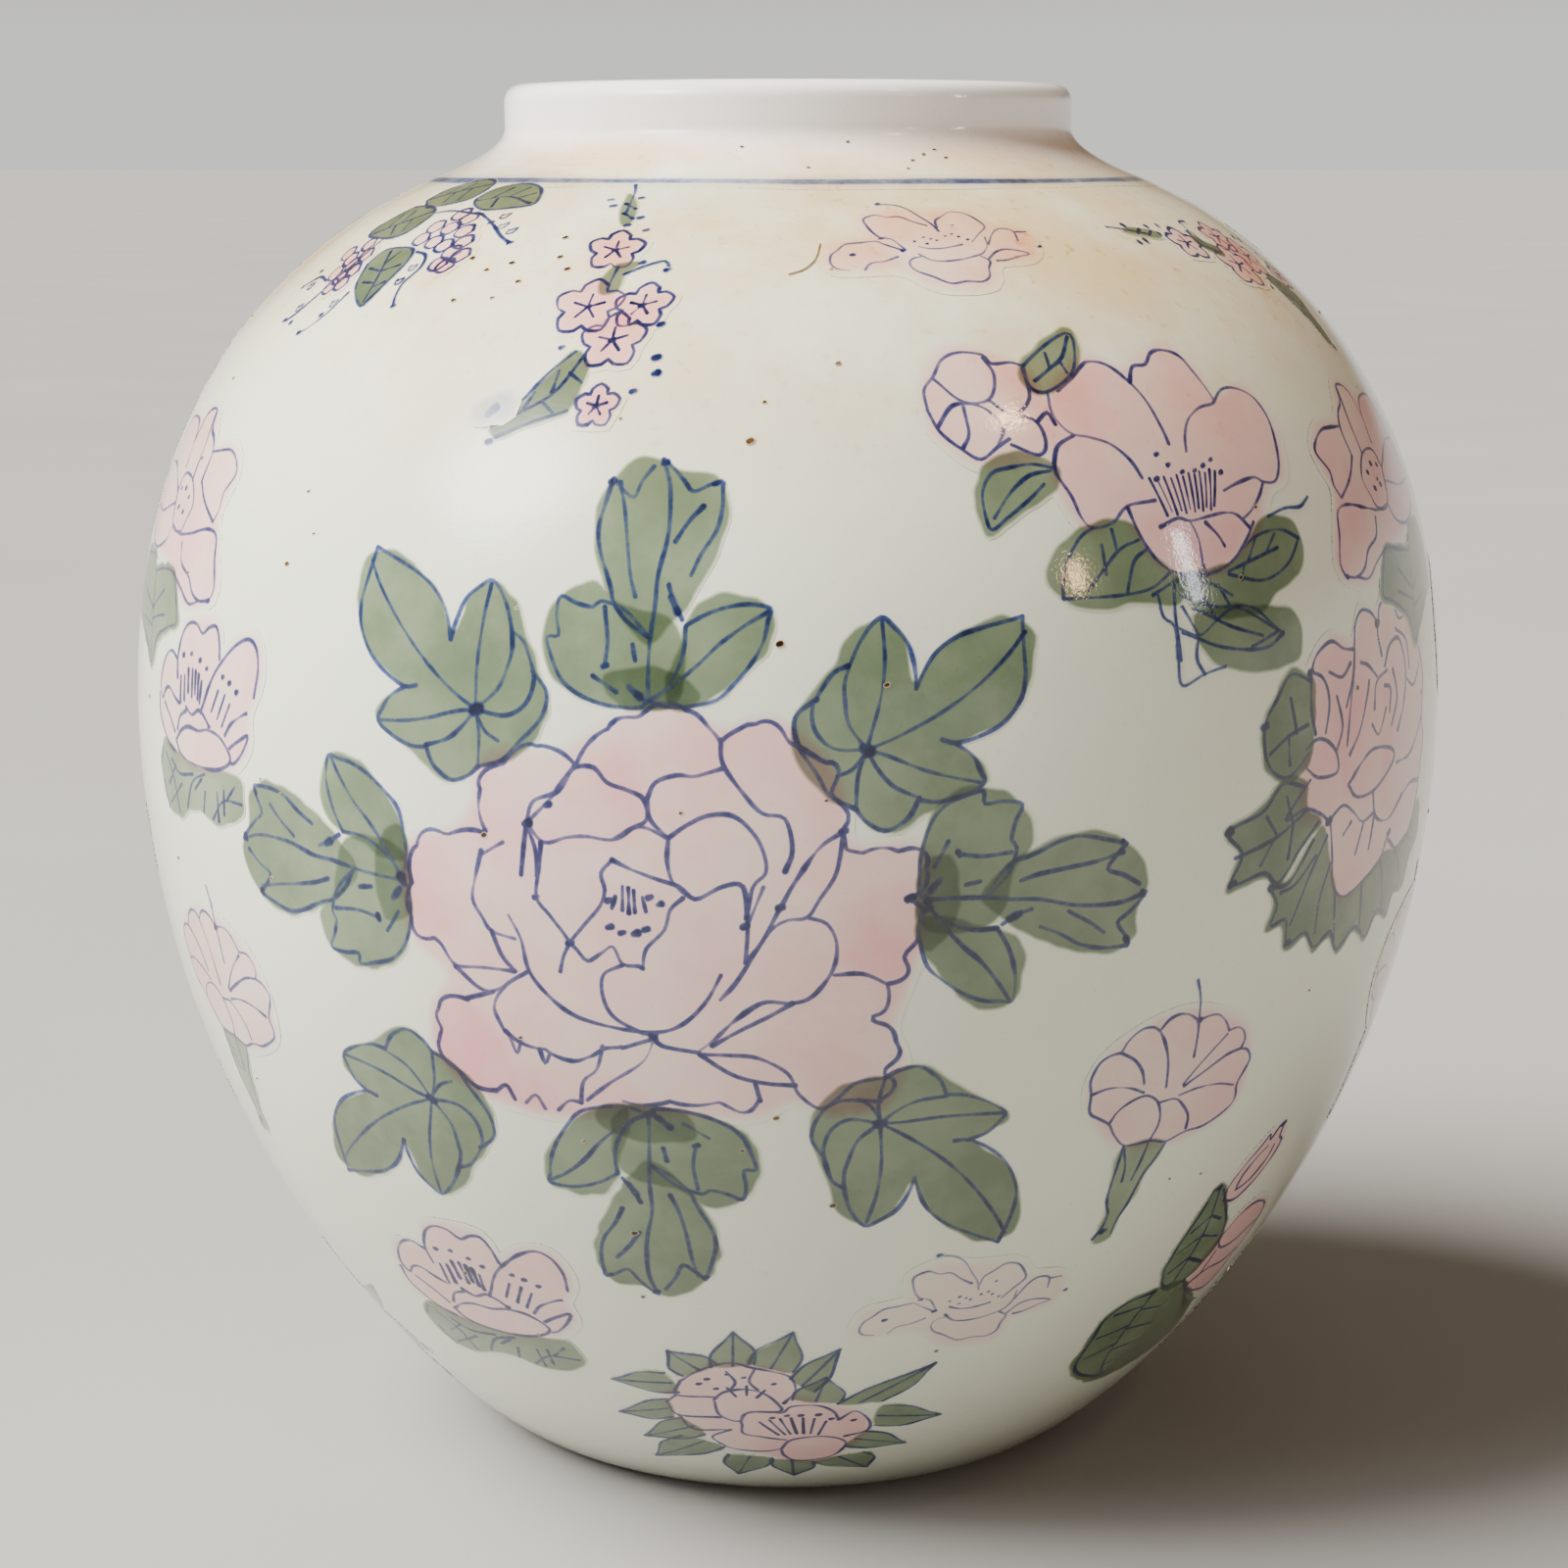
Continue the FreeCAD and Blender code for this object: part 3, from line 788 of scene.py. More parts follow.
def faint_rose():
    """Small rose from a nearly dry stamp, its lines broken and thin."""
    drawn = lines(
        0.55, 0.75,
        [(-6, -1), (-9, .8), (-10, 1.5), (-12.7, 1), (-15, .5), (-16.7, -1.3), (-18, -2.7),
         (-18.5, -4.7), (-17.7, -6), (-15.7, -6.3)],
        [(-13.3, -6), (-12, -4.3), (-9.7, -3.7), (-7.3, -2.5)],
        [(-9, 2.3), (-10, 4), (-10.5, 6), (-10.5, 7.7), (-8.3, 8.8), (-6.3, 8), (-4.3, 8.1),
         (-2.3, 6.5), (-.3, 5.3)],
        [(-9, 2.3), (-7.3, 2), (-5.7, -.7)],
        [(1.3, 3.7), (.7, 5.7), (-.7, 8), (-2, 10.3), (-3.7, 11.7), (-6.7, 12.3)],
        [(1.3, 4.7), (1.7, 6.7), (3.3, 8), (5.3, 9.5), (7.7, 9), (9.3, 7), (10, 5), (8.3, 3),
         (6.3, .7)],
        [(-3.3, -.1), (-1.7, -.7), (.3, -.8), (2.3, -.5), (4.3, 0)],
        [(-3.7, -2), (-2, -3.5), (.3, -3.9), (3, -3.7), (5.3, -3.1), (7.3, -2.3), (8.7, -.3), (9, 2)],
        [(-3, -2.5), (-5, -3), (-5.8, -4.3), (-5, -6), (-2.7, -7.3), (0, -9), (2.7, -8.7),
         (5.3, -9), (6.9, -8), (7.3, -6), (8, -4.3), (6.7, -3)],
        [(9, 0), (10.7, 3), (12.3, 4.5), (14, 4.5), (15, 3.7), (15, 1.3)],
        [(15, 3.7), (17.3, 3.7)],
        [(8, -3.7), (9.7, -2), (11.7, -1.2), (14.3, -1.5), (16, -2.3), (13.7, -3), (11.3, -4),
         (9.3, -4.2)],
    )
    spots = dots(0.85, 1.1, (-14.5, -2.3), (-6.7, 12.3), (18.7, -.3), (-9, 2.2), (-6, -.9)) + dots(
        0.5, 0.9,
        (-3.5, 1.3), (-1.8, 2.2), (-1.7, .5), (-.7, 1.7), (.3, 1.3), (2, 2.3), (3.3, 2.8),
        (4.3, 2.1), (5.7, 1.3), (4.3, 5.3),
    )
    wash = washes(
        0.6,
        [(-18.5, -6.5), (-18, 0), (-11, 2.5), (-11, 8), (-6, 10.5), (0, 10), (7, 10), (10, 7),
         (12, 5.5), (17, 4.5), (18, 0), (16, -3.5), (9, -5), (7, -10), (-2, -10), (-8, -6)],
    )
    return {"pink": wash, "lines": drawn, "dots": spots}


def stamen_blossom():
    """Open blossom seen from the side, its stamens thick and dark, over a clump of leaves."""
    petals = lines(
        0.85, 0.95,
        [(-9.7, 4.7), (-10, 8), (-9, 11.3), (-7.3, 13.7), (-5, 15), (-2.3, 15), (0, 13.7),
         (2.3, 15), (4.7, 15.3), (6, 13), (6.5, 10)],
        [(.7, -.3), (2, 2), (3.3, 4.7), (5.3, 7.7), (8, 10.3), (11.3, 12.7), (15, 14),
         (17.7, 12.7), (18.9, 9.3), (18.3, 5)],
        [(9.3, -2.7), (11.3, -.3), (14.7, 1.7), (16.3, 2.3)],
        [(10.7, -4.7), (13.3, -3), (16.7, -1.3), (15.3, -4), (12.7, -6.7), (11.3, -7.3)],
        [(-10, -6.7), (-7.3, -4.7), (-4, -3.7), (0, -3.8), (3.3, -3), (7.3, -3.3), (10, -5),
         (11, -6.7), (9.3, -8.3), (5.3, -9.7), (0, -10), (-4.7, -9.7), (-8, -8.7), (-10, -6.7)],
        [(-5.3, -.3), (-2.7, -1.3), (0, 0), (2, -.7), (4, -2.3)],
        [(-10.3, 8), (-13.3, 9), (-16, 8), (-18.3, 5.3), (-19.3, 2), (-18, 0), (-16.3, 1.7),
         (-14, 2.3), (-11.3, 1), (-8.7, 0)],
        [(-20, .7), (-19.7, -2.7), (-17.3, -5.3), (-14, -7.7), (-10.7, -8.7)],
        [(-16.7, -.7), (-13.3, -3), (-10.7, -5.3)],
        [(-9.3, -4.7), (-8, -2.3), (-5.3, -1)],
    )
    stamens = lines(
        1.1, 1.3,
        [(-8, 5), (-8, .3)], [(-6.3, 5.3), (-6.2, 1)], [(-4.7, 6.7), (-4.5, 2.7)],
        [(-3, 7), (-2.9, 2)], [(-1.7, 6.7), (-1.7, 2.7)], [(-.5, 6.3), (-.6, 2)],
        [(.7, 5.3), (.2, 1.3)],
    ) + lines(
        0.7, 1.1,
        [(6.7, 4.7), (4.7, .7)], [(9, 4.3), (6.7, -.3)], [(10.7, 3), (8.3, -1.3)],
    )
    spots = dots(
        1.05, 1.2,
        (-7.2, 9), (-3.8, 9.7), (-.3, 9), (2.3, 7.9), (8.1, 7.3), (10.3, 6.5), (12.8, 5.3), (4, -2.3),
    )
    leaves = lines(
        0.75, 1.1,
        [(-19.3, -11.3), (-18, -8.7)], [(-18, -14.7), (-15.7, -19.3)], [(-14.7, -14.7), (-10.7, -11.3)],
        [(-14.7, -18.3), (-8, -14)], [(-12.7, -10.3), (-8.7, -12.3), (-2.7, -11.7)],
        [(-2, -14), (.7, -12)], [(.7, -17.3), (1.7, -14)], [(6, -18), (6, -13.3)],
        [(8, -16.7), (8.3, -12.7)], [(9.3, -14), (12, -11.3)], [(-16, -9.5), (-12, -13.5), (-10, -19)],
        [(-6, -17.5), (-3, -13), (2, -11)], [(4, -18), (8, -14.5), (14, -14)],
    )
    pink = washes(
        0.8,
        [(-10, 8), (-8, 14), (-3, 16), (5, 16), (7, 11), (12, 14), (18, 14), (20, 8), (17, 2),
         (17, -3), (12, -8), (3, -10.5), (-7, -10), (-12, -9), (-19, -5), (-20.5, 2), (-17, 8)],
    )
    green = washes(
        0.85,
        [(-20, -11), (-17, -7), (-12, -8), (0, -10), (13, -9), (15, -13), (14, -16), (10, -18),
         (5, -19), (0, -17.5), (-5, -18), (-10, -20), (-16, -19), (-19, -15)],
    )
    return {"pink": pink, "green": green, "lines": petals + stamens + leaves, "dots": spots}


def morning_glory():
    """Trumpet flower with a scalloped rim and fanned ribs, above a long narrow calyx."""
    rim = lines(
        0.7, 0.85,
        [(-16.3, 3.3), (-17, 6), (-16, 9), (-14, 10.3), (-12, 10.5)],
        [(-12, 10.5), (-10.7, 12.7), (-8.3, 14.3), (-6, 14.3), (-4.5, 13.3)],
        [(-4.5, 13.3), (-3, 15), (-1, 15.7), (1.3, 15.2), (3.5, 13.7)],
        [(3.5, 13.7), (5.7, 14.3), (8, 14.2), (10, 12.7), (11.3, 10.7)],
        [(11.3, 10.7), (13.7, 11), (15.3, 10), (16, 8.3), (15.3, 6.5)],
        [(15.3, 6.5), (17.3, 5.9), (18.5, 4), (17.7, 2), (16, -1), (16.3, -3.3), (15.7, -5),
         (13, -6.7), (9.7, -7.9), (6, -8), (2.3, -9), (-.3, -8.3), (-1.7, -8), (-5, -8.1),
         (-7.3, -7.7), (-9.7, -5.3), (-11.3, -3), (-13.3, -1.7), (-15.7, -.1), (-16.3, 3.3)],
    )
    ribs = lines(
        0.65, 0.85,
        [(-12, 10.5), (-9, 8.7), (-7, 6.3), (-6, 3.7)], [(-4.5, 13.3), (-3, 10.7), (-1.7, 7), (-1, 2)],
        [(3.5, 13.7), (3.8, 10.7), (3.8, 6.7)], [(1.8, 21.3), (3, 18), (3.5, 13.7)],
        [(11, 10), (8, 7.3), (5, 4.3), (2.7, 1.7)], [(15.3, 6.5), (11.7, 5.7), (7, 3.3), (3, 1.3)],
        [(-16.3, 3.3), (-13, 4.1), (-9, 3.5), (-5.7, 2)], [(15, -1), (11, 0), (6.3, .2), (2.3, -.3)],
        [(-11.3, -2.7), (-10.3, -.7), (-8, .8), (-5, 1.3), (-2.3, -.3), (-.9, -3), (-.7, -5.3),
         (-1.7, -8)],
        [(-1.7, -.7), (1.7, -.8), (4, -2.7), (5.7, -5), (6, -7.3)],
    )
    calyx = lines(
        0.7, 0.95,
        [(-7, -8), (-7, -12.7), (-7, -19.3), (-5.7, -23.3)], [(-1.7, -8), (-2.3, -12.7), (-3, -16)],
        [(2.3, -9.3), (.7, -12.7), (-.7, -15.3), (-2.3, -22)], [(-6.7, -8.7), (-5.3, -12.7), (-5, -16)],
        [(-5.7, -23.3), (-6, -26), (-7.2, -28.5)], [(-2.3, -22), (-3.4, -25), (-3.7, -28)],
    )
    pink = washes(
        0.75,
        [(-17, 5), (-14, 11), (-6, 15), (2, 16), (10, 14), (16, 10), (18, 3), (16, -5), (7, -9),
         (-2, -9), (-9, -7), (-15, -1)],
    )
    green = washes(
        0.7, [(-7, -8), (2, -9), (0, -15), (-1, -20), (-3, -24), (-3.5, -29), (-7, -29), (-6.5, -23),
              (-7.3, -16)],
    )
    pools = dots(1.3, 1.2, (-5.5, -27), (3.5, 13.7))
    return {"pink": pink, "green": green, "lines": rim + ribs + calyx, "dots": pools}


def camellia():
    """Camellia with a tuft of stamens, a cluster of buds at its left and leaves beneath."""
    petals = lines(
        0.8, 0.9,
        [(-12, 14.4), (-8.9, 16.2), (-5.7, 18.5), (-3.9, 19.4), (-.7, 18.9), (2, 16.2), (4.3, 12.5),
         (5.8, 7.5), (6.3, 4.8)],
        [(-13.9, 14.4), (-13.9, 10.7), (-11.6, 7.5), (-8, 6.6), (-4.4, 5.3), (-1.6, 2.5), (-.3, -.6)],
        [(-11, 7), (-13.9, 5.7), (-15.3, 3.9), (-16.2, .7), (-14.8, -3.4), (-13.9, -7), (-12.1, -8.8),
         (-8, -7.9), (-4.4, -5.2), (1.1, -4.5)],
        [(2.5, 15.7), (4.3, 18.5), (7, 18.9), (9.3, 21.2), (12, 21.6), (15.2, 20.3), (17, 17.1),
         (18.8, 13.5), (19.3, 11.2), (15.6, 10.5), (12, 8.5), (10.2, 5.7), (9.5, 3)],
        [(19.3, 11.2), (22, 13.5), (25.2, 13.7), (28.8, 12.1), (31.1, 8.5), (31.8, 3.9), (31.1, -.6),
         (28.8, -3.4), (25.6, -3.5), (23.8, -2.7), (19.7, -3.4), (15.6, -4.5)],
        [(25.6, -3.5), (23.8, -5.6), (21.1, -7.9), (18.8, -9.1)],
        [(-4.4, -5.6), (-3.5, -8.8), (-1.6, -12.5), (1.5, -15.6), (6.5, -17), (11.1, -16.8),
         (15.6, -15.2), (18.8, -12.5), (21.1, -9.7)],
        [(1.1, -8.8), (4.7, -7.7), (7, -8.4), (11.1, -8.1), (14.7, -7.9), (17.5, -8.4), (20.2, -10.6)],
        [(7, -8.4), (8.2, -11.5), (8.5, -16.5)], [(10.2, -9), (12.5, -11.1), (13.8, -12.9)],
    )
    tuft = [([(x, -.8 - .4 * (i % 2)), (7.5 + .72 * (x - 7.5), -6.6 - .5 * ((i + 1) % 2))], 0.62, 1.05)
            for i, x in enumerate((1, 2.4, 3.7, 5, 6.2, 7.4, 8.7, 9.9, 11.1, 12.3, 13.5, 14.7))]
    buds = lines(
        0.75, 0.9,
        [(-34.4, 11.6), (-33.9, 15.3), (-31.6, 18), (-29.4, 21.2), (-26.2, 22.7), (-22.5, 22.1),
         (-21.6, 20.3), (-18.5, 20.3), (-16.6, 19.4)],
        [(-34.4, 11.6), (-33.5, 8), (-30.7, 5.3), (-28, 3.7), (-24.4, 5.7), (-22, 7)],
        [(-31.8, 17.5), (-28, 13.5), (-23.5, 13.8), (-21.8, 18), (-22.6, 21.5)],
        [(-23.5, 13.5), (-20.5, 11), (-17.2, 13.5), (-17, 19)],
        [(-33.5, 9), (-29.5, 12.8), (-25, 12.5), (-22.5, 9), (-24.4, 5.7)],
        [(-22.8, 8.5), (-19.8, 10.6), (-16.8, 9.5), (-16.2, 6), (-18, 4), (-22, 6)],
        [(-16.8, 9.5), (-14.8, 11), (-13.8, 9)], [(-30.5, 5.5), (-28.5, 8), (-28, 12.5)],
    )
    leaves = lines(
        0.75, 1.0,
        [(-16.6, 19.4), (-14.8, 20.7), (-10.7, 23), (-5.3, 25.3), (-4.5, 23.9), (-6, 20.3),
         (-8, 17.5), (-11.6, 15.3), (-14.8, 14.4), (-16.6, 15.7), (-16.6, 19.4)],
        [(-15.5, 16.5), (-12, 18.5), (-8.5, 20.5), (-5.3, 24.5)], [(-12, 18.5), (-11.5, 21.5)],
        [(-9.5, 19.9), (-9, 17.5)],
        [(-16.2, 1.6), (-19.8, 2.5), (-23.9, 2.1), (-27.1, 1.2), (-29.4, -2), (-29.4, -6.1),
         (-28.5, -8.4), (-25.7, -6.5), (-22.1, -3.8), (-18.9, -1.1)],
        [(-28, -6.5), (-25, -2.5), (-21, .5), (-17, 1.2)],
        [(-18.5, -19.7), (-17.5, -15.2), (-14.8, -10.6), (-12, -8.8)],
        [(-13.9, -18.4), (-8, -12.5), (-3.5, -10.6)],
        [(-18, -19.7), (-8.9, -19.3), (-2.5, -18.4), (1.5, -16.1)],
        [(-10.5, -16), (-10.8, -11.5)], [(-8, -12.5), (-8.5, -9)], [(-7, -19), (-5, -14), (-2, -12)],
        [(-2.2, -19.5), (3, -17.5), (9, -18.5), (14, -21)], [(2, -18), (1.5, -24), (2, -31)],
        [(15, -15.5), (21, -12), (27, -11.2), (31.5, -13)],
        [(31.5, -13), (28, -17), (22, -19), (14, -17.5)],
        [(14, -17), (20, -15.5), (26, -14)], [(19, -15.6), (21, -12.2)], [(23, -14.8), (25.5, -11.8)],
        [(18, -16), (17, -18.5)], [(3, -20), (9, -22.5), (16, -23.5), (25, -28)],
        [(25, -28), (20, -30), (10, -29.5), (2.5, -26.5)], [(5, -22.5), (12, -26), (20, -28)],
        [(24.7, -9), (29.3, -7.9), (33.8, -7.9), (37, -6.5)],
        [(-1.2, -19.7), (-.7, -23.4), (1.1, -25.2), (1.5, -30.6)],
        [(1.5, -30.6), (2.2, -35), (6.5, -33.6), (10.8, -32.6)],
        [(1.1, -25.2), (5.5, -27.3), (9.5, -25)],
        [(5.5, -27.3), (5, -31), (6.5, -33.6)], [(3, -22), (5.5, -27.3)],
        [(9.5, -25), (7.5, -21), (5, -18)],
        [(9.5, -25), (14, -23), (19, -23.5), (24, -27.5)], [(11, -19), (13, -22.6)],
        [(17, -29.7), (24, -27.5)],
    )
    spots = dots(
        0.95, 1.15,
        (3.4, 3.2), (5.2, 1.2), (7.5, -.4), (10.2, -.5), (12.3, .1), (14.5, .9), (2.3, -1), (16, -1.5),
    )
    pink = washes(
        0.8,
        [(-15, 9), (-13, 15), (-4, 20.5), (2, 18), (8, 21.5), (13, 22.5), (18, 17), (20, 12),
         (27, 14), (32, 7), (32, -2), (26, -5), (20, -13), (8, -18), (-1, -14), (-6, -7), (-13, -9.5),
         (-17, -2), (-16, 5)],
        [(-35, 10), (-33, 18), (-27, 24), (-20, 21.5), (-16, 18), (-14, 9), (-18, 3.5), (-28, 2.5),
         (-33, 6)],
    ) + washes(0.4, [(-13, 13), (-4, 18), (4, 12), (2, 5), (-6, 6)],
    [(-3, -8), (8, -9), (18, -10), (10, -17)])
    green = washes(
        0.95,
        [(-17.5, 19), (-12, 23.5), (-5, 26.5), (-3.5, 24), (-6, 18.5), (-12, 14.5), (-17, 14.5)],
        [(-16, 2.5), (-22, 5), (-28, 2.5), (-31, -3), (-29, -9.5), (-24, -6.5), (-18, -3), (-15.5, 0)],
        [(-20.7, -16), (-18, -11.5), (-13.5, -8.4), (-5.3, -7.5), (-1.6, -12.5), (2.9, -16.5),
         (2.9, -21.5), (-5.3, -20.6), (-11.6, -21.5), (-17.5, -20.6)],
        [(15.6, -15.2), (22, -9.7), (26.6, -8.8), (31.1, -10.6), (32.5, -15.2), (31.1, -18.8),
         (24.7, -21.5), (19.3, -24.7), (8, -24), (2, -17)],
        [(5, -24), (12, -22.5), (20, -23), (28, -24.5), (30, -29), (27, -33), (15, -33.5), (7, -31)],
    )
    return {"pink": pink, "green": green, "lines": petals + buds + leaves + tuft, "dots": spots}


def grapes(*places):
    """Small round berries, each a ring of cobalt over a spot of pink."""
    radius = 1.9
    turns = (0, 1.26, 2.51, 3.77, 5.03, 6.28)
    rings, spots = [], []
    for x, y in places:
        ring = [(x + radius * math.cos(a), y + radius * math.sin(a)) for a in turns]
        rings.append((ring, 0.8, 1.3))
        spots.append((ring[:-1], 0.9))
    return {"pink": spots, "lines": rings}


def curls(*places):
    """Tiny loops of tendril."""
    return [([(x, y), (x + 1, y + .8), (x + .9, y - .7), (x - .2, y - .9), (x - .4, y + .3)], 0.5, 1.2)
            for x, y in places]


def berry_spray():
    """Vine spray: four dark ribbed leaves, two bunches of berries and curling tendrils."""
    leaves = [
        [(-16.5, 15.3), (-15.5, 18.9), (-11.5, 22.1), (-6.9, 23.9), (-2.8, 22.5), (-1.9, 18.9),
         (-2.8, 16.2), (-6.9, 14.4), (-11.5, 13)],
        [(-17.4, 13), (-22.4, 6.2), (-21.5, 3.9), (-16.9, 3.5), (-11.5, 3.9), (-7.8, 6.2),
         (-6.9, 11.6), (-11.5, 13.5)],
        [(-.5, 16.6), (-.1, 19.8), (3.1, 22.1), (7.6, 22.4), (11.7, 20.3), (14.5, 16.6), (14.9, 14.4),
         (11.3, 13.5), (5.8, 13), (1.3, 14.8)],
        [(-11, -3.4), (-9.6, .3), (-5.1, 1.6), (-1, 1.2), (.2, -2), (-.5, -7.5), (-1.6, -12),
         (-2.4, -13.4), (-6, -11.5), (-9.2, -8.4)],
    ]
    rims = lines(0.85, 1.2, *[leaf + leaf[:1] for leaf in leaves])
    ribs = lines(
        0.75, 1.2,
        [(-16, 15.5), (-10, 18.8), (-3, 22)], [(-12.5, 17.5), (-12, 20.5)], [(-9.5, 19), (-8.5, 22.2)],
        [(-10.5, 18.5), (-9, 15.2)], [(-7, 20.2), (-5.5, 16)],
        [(-20.5, 4.5), (-14, 8), (-8, 12)], [(-17, 6.5), (-17.5, 10.5)], [(-14, 8), (-14.5, 11.8)],
        [(-15, 7.4), (-13, 4.8)], [(-11.5, 9.5), (-10, 6)],
        [(.5, 16), (7, 17.5), (14, 15)], [(3.5, 17), (4.5, 20.8)], [(7, 17.5), (8.5, 21)],
        [(5, 16.8), (6.5, 14)], [(9.5, 17), (12, 18.8)],
        [(-2.6, -12.5), (-4.5, -6), (-7, .3)], [(-3.9, -8), (-7.5, -8)], [(-4.8, -5), (-9, -4.5)],
        [(-3.6, -9), (-1.2, -7.5)], [(-4.8, -5), (-1, -3)], [(-5.6, -3), (-4, .5)],
    )
    tendrils = lines(
        0.75, 1.35,
        [(6.7, 11.6), (10.4, 9.4), (13.5, 7.1), (16.3, 4.8), (19.5, 3)],
        [(.4, .7), (3.5, -.2), (4.9, -3.4), (4, -7.5), (4.9, -10.6), (6.3, -12.7)],
        [(-9.6, -10.6), (-11, -14.7), (-13.7, -17.9), (-16, -19.7)],
        [(-19.6, -10.6), (-22.4, -14.7), (-25.1, -17)], [(-21.5, -7.9), (-26, -7), (-30.5, -9.3)],
        [(-6.9, 11.6), (-2, 12.6), (6.7, 11.6)], [(-14, 3.6), (-16, -3), (-19.6, -10.6)],
    )
    loops = curls((12, 11), (14, 8), (2.6, -3.4), (2.2, -7), (-12, -13), (-24, -14), (-27, -9),
                  (17, 6.4))
    fruit = grapes(
        (-1, 7.8), (1.7, 11.6), (3.1, 7.5), (4.9, 10.3), (7.2, 6.6), (-1.5, 4.2), (2.6, 3.5),
        (5.8, 2.5),
        (9.5, 3.5), (9, .7), (11.7, -.2), (8.5, -2.5), (10.4, -2.9),
        (-17.4, 1.6), (-14.6, -1.1), (-22.4, -1.1), (-19.2, -2.5), (-16.5, -3.8), (-20.1, -6.1),
        (-16.9, -7), (-14.6, -8.4), (-14.2, -5.2), (-17.8, -9.3),
    )
    spots = dots(1.0, 1.3, (-22.4, -17.5), (-26, -17), (-16.5, -19.7), (-13, -15.8), (19.6, 3),
                 (6.4, -12.8),
                 (-30.6, -9.4), (-28, -5.6), (11, 9))
    leaf_fill = washes(1.25, *leaves)
    return together({"green": leaf_fill, "lines": rims + ribs + tendrils + loops, "dots": spots}, fruit)


def star_flower(x, y, size):
    """Small five-petalled blossom round a dark star."""
    petals, top, fifth = 5, 1.57, 1.257
    rim, rays = [], []
    for k in range(petals):
        a = top + k * fifth
        for turn, reach in ((-.42, .93), (0, 1.12), (.42, .93), (.63, .72)):
            rim.append((x + size * reach * math.cos(a + turn), y + size * reach * math.sin(a + turn)))
        rays.append(([(x, y), (x + .5 * size * math.cos(a), y + .5 * size * math.sin(a))], 0.6, 1.25))
    return {"pink": [(rim, 1.0)], "lines": [(rim + rim[:1], 0.8, 1.2)] + rays,
            "dots": dots(1.15, 1.4, (x, y))}


def blossom_branch():
    """Upright spray of small blossoms on a leafy twig that bends away to the left at its foot."""
    flowers = together(
        star_flower(-2.2, 9.4, 4.6), star_flower(-3, -4, 5.6), star_flower(6.6, -4.3, 4.6),
        star_flower(3.2, -11.4, 5.2), star_flower(3, -23.8, 3.6),
    )
    green = washes(
        1.05,
        [(-5.7, 26), (-4, 25.3), (-2, 21.3), (-1.3, 16.7), (-3, 16), (-4.5, 18.7), (-5.3, 22.7)],
        [(-2, -1), (1, -1), (1.5, 3), (3, 6), (-1, 6), (-2.5, 3)],
        [(-2.7, -13.3), (-6.7, -17.3), (-10, -22.7), (-14.7, -27.3), (-13.3, -29.3), (-7.3, -26.7),
         (-2, -25), (-.3, -19.3), (0, -16)],
    )
    twigs = lines(
        0.8, 1.2,
        [(-5.5, 29.3), (-4.5, 26), (-3.5, 20)], [(1, 3.3), (4.7, 5.3), (7.3, 6), (8.3, 4.7)],
        [(-14.7, -27.3), (-10, -24.5), (-5, -21), (-1, -14)],
        [(-13.5, -29.2), (-8, -26.5), (-2, -24.5)],
        [(-2.7, -13.3), (-6.7, -17.3), (-10.5, -22.7), (-14.5, -27)], [(-10, -24.5), (-8.5, -21)],
        [(-7, -22.6), (-4.5, -24.8)], [(-5.5, -21), (-5, -17)], [(-3, -17.5), (-.5, -19.5)],
        [(-1, 0), (-.6, 5)], [(-4.6, 22.5), (-2.2, 21)], [(-3.8, 19.5), (-1.6, 18)],
    )
    buds = dots(
        1.15, 1.3,
        (-8, 23.7), (-6.7, 21.7), (-2.7, 24.7), (-.3, 18.3), (-2, 16), (11.3, -15), (11.7, -17.9),
        (10.8, -8.5), (8.7, -21.2), (-5.4, -12.4), (3.3, 5.9), (8.4, 3.8), (-14.5, -30), (1.8, 14.6),
    )
    return together({"green": green, "lines": twigs, "dots": buds}, flowers)


def pointed_leaf(base_a, base_b, tip):
    """Leaf between two points of its base, bellied towards a sharp tip, with a midrib."""
    middle = ((base_a[0] + base_b[0]) / 2, (base_a[1] + base_b[1]) / 2)

    def belly(base, share):
        return tuple(base[k] + share * (tip[k] - middle[k]) for k in (0, 1))

    def side(base):
        shoulder, spine = belly(base, .75), belly(middle, .8)
        return [base, belly(base, .4), tuple(.35 * shoulder[k] + .65 * spine[k] for k in (0, 1)), tip]

    side_a, side_b = side(base_a), side(base_b)
    return {"green": [(side_a + side_b[-2::-1], 0.9)],
            "lines": lines(0.7, 0.95, side_a, side_b, [middle, belly(middle, .5), tip])}


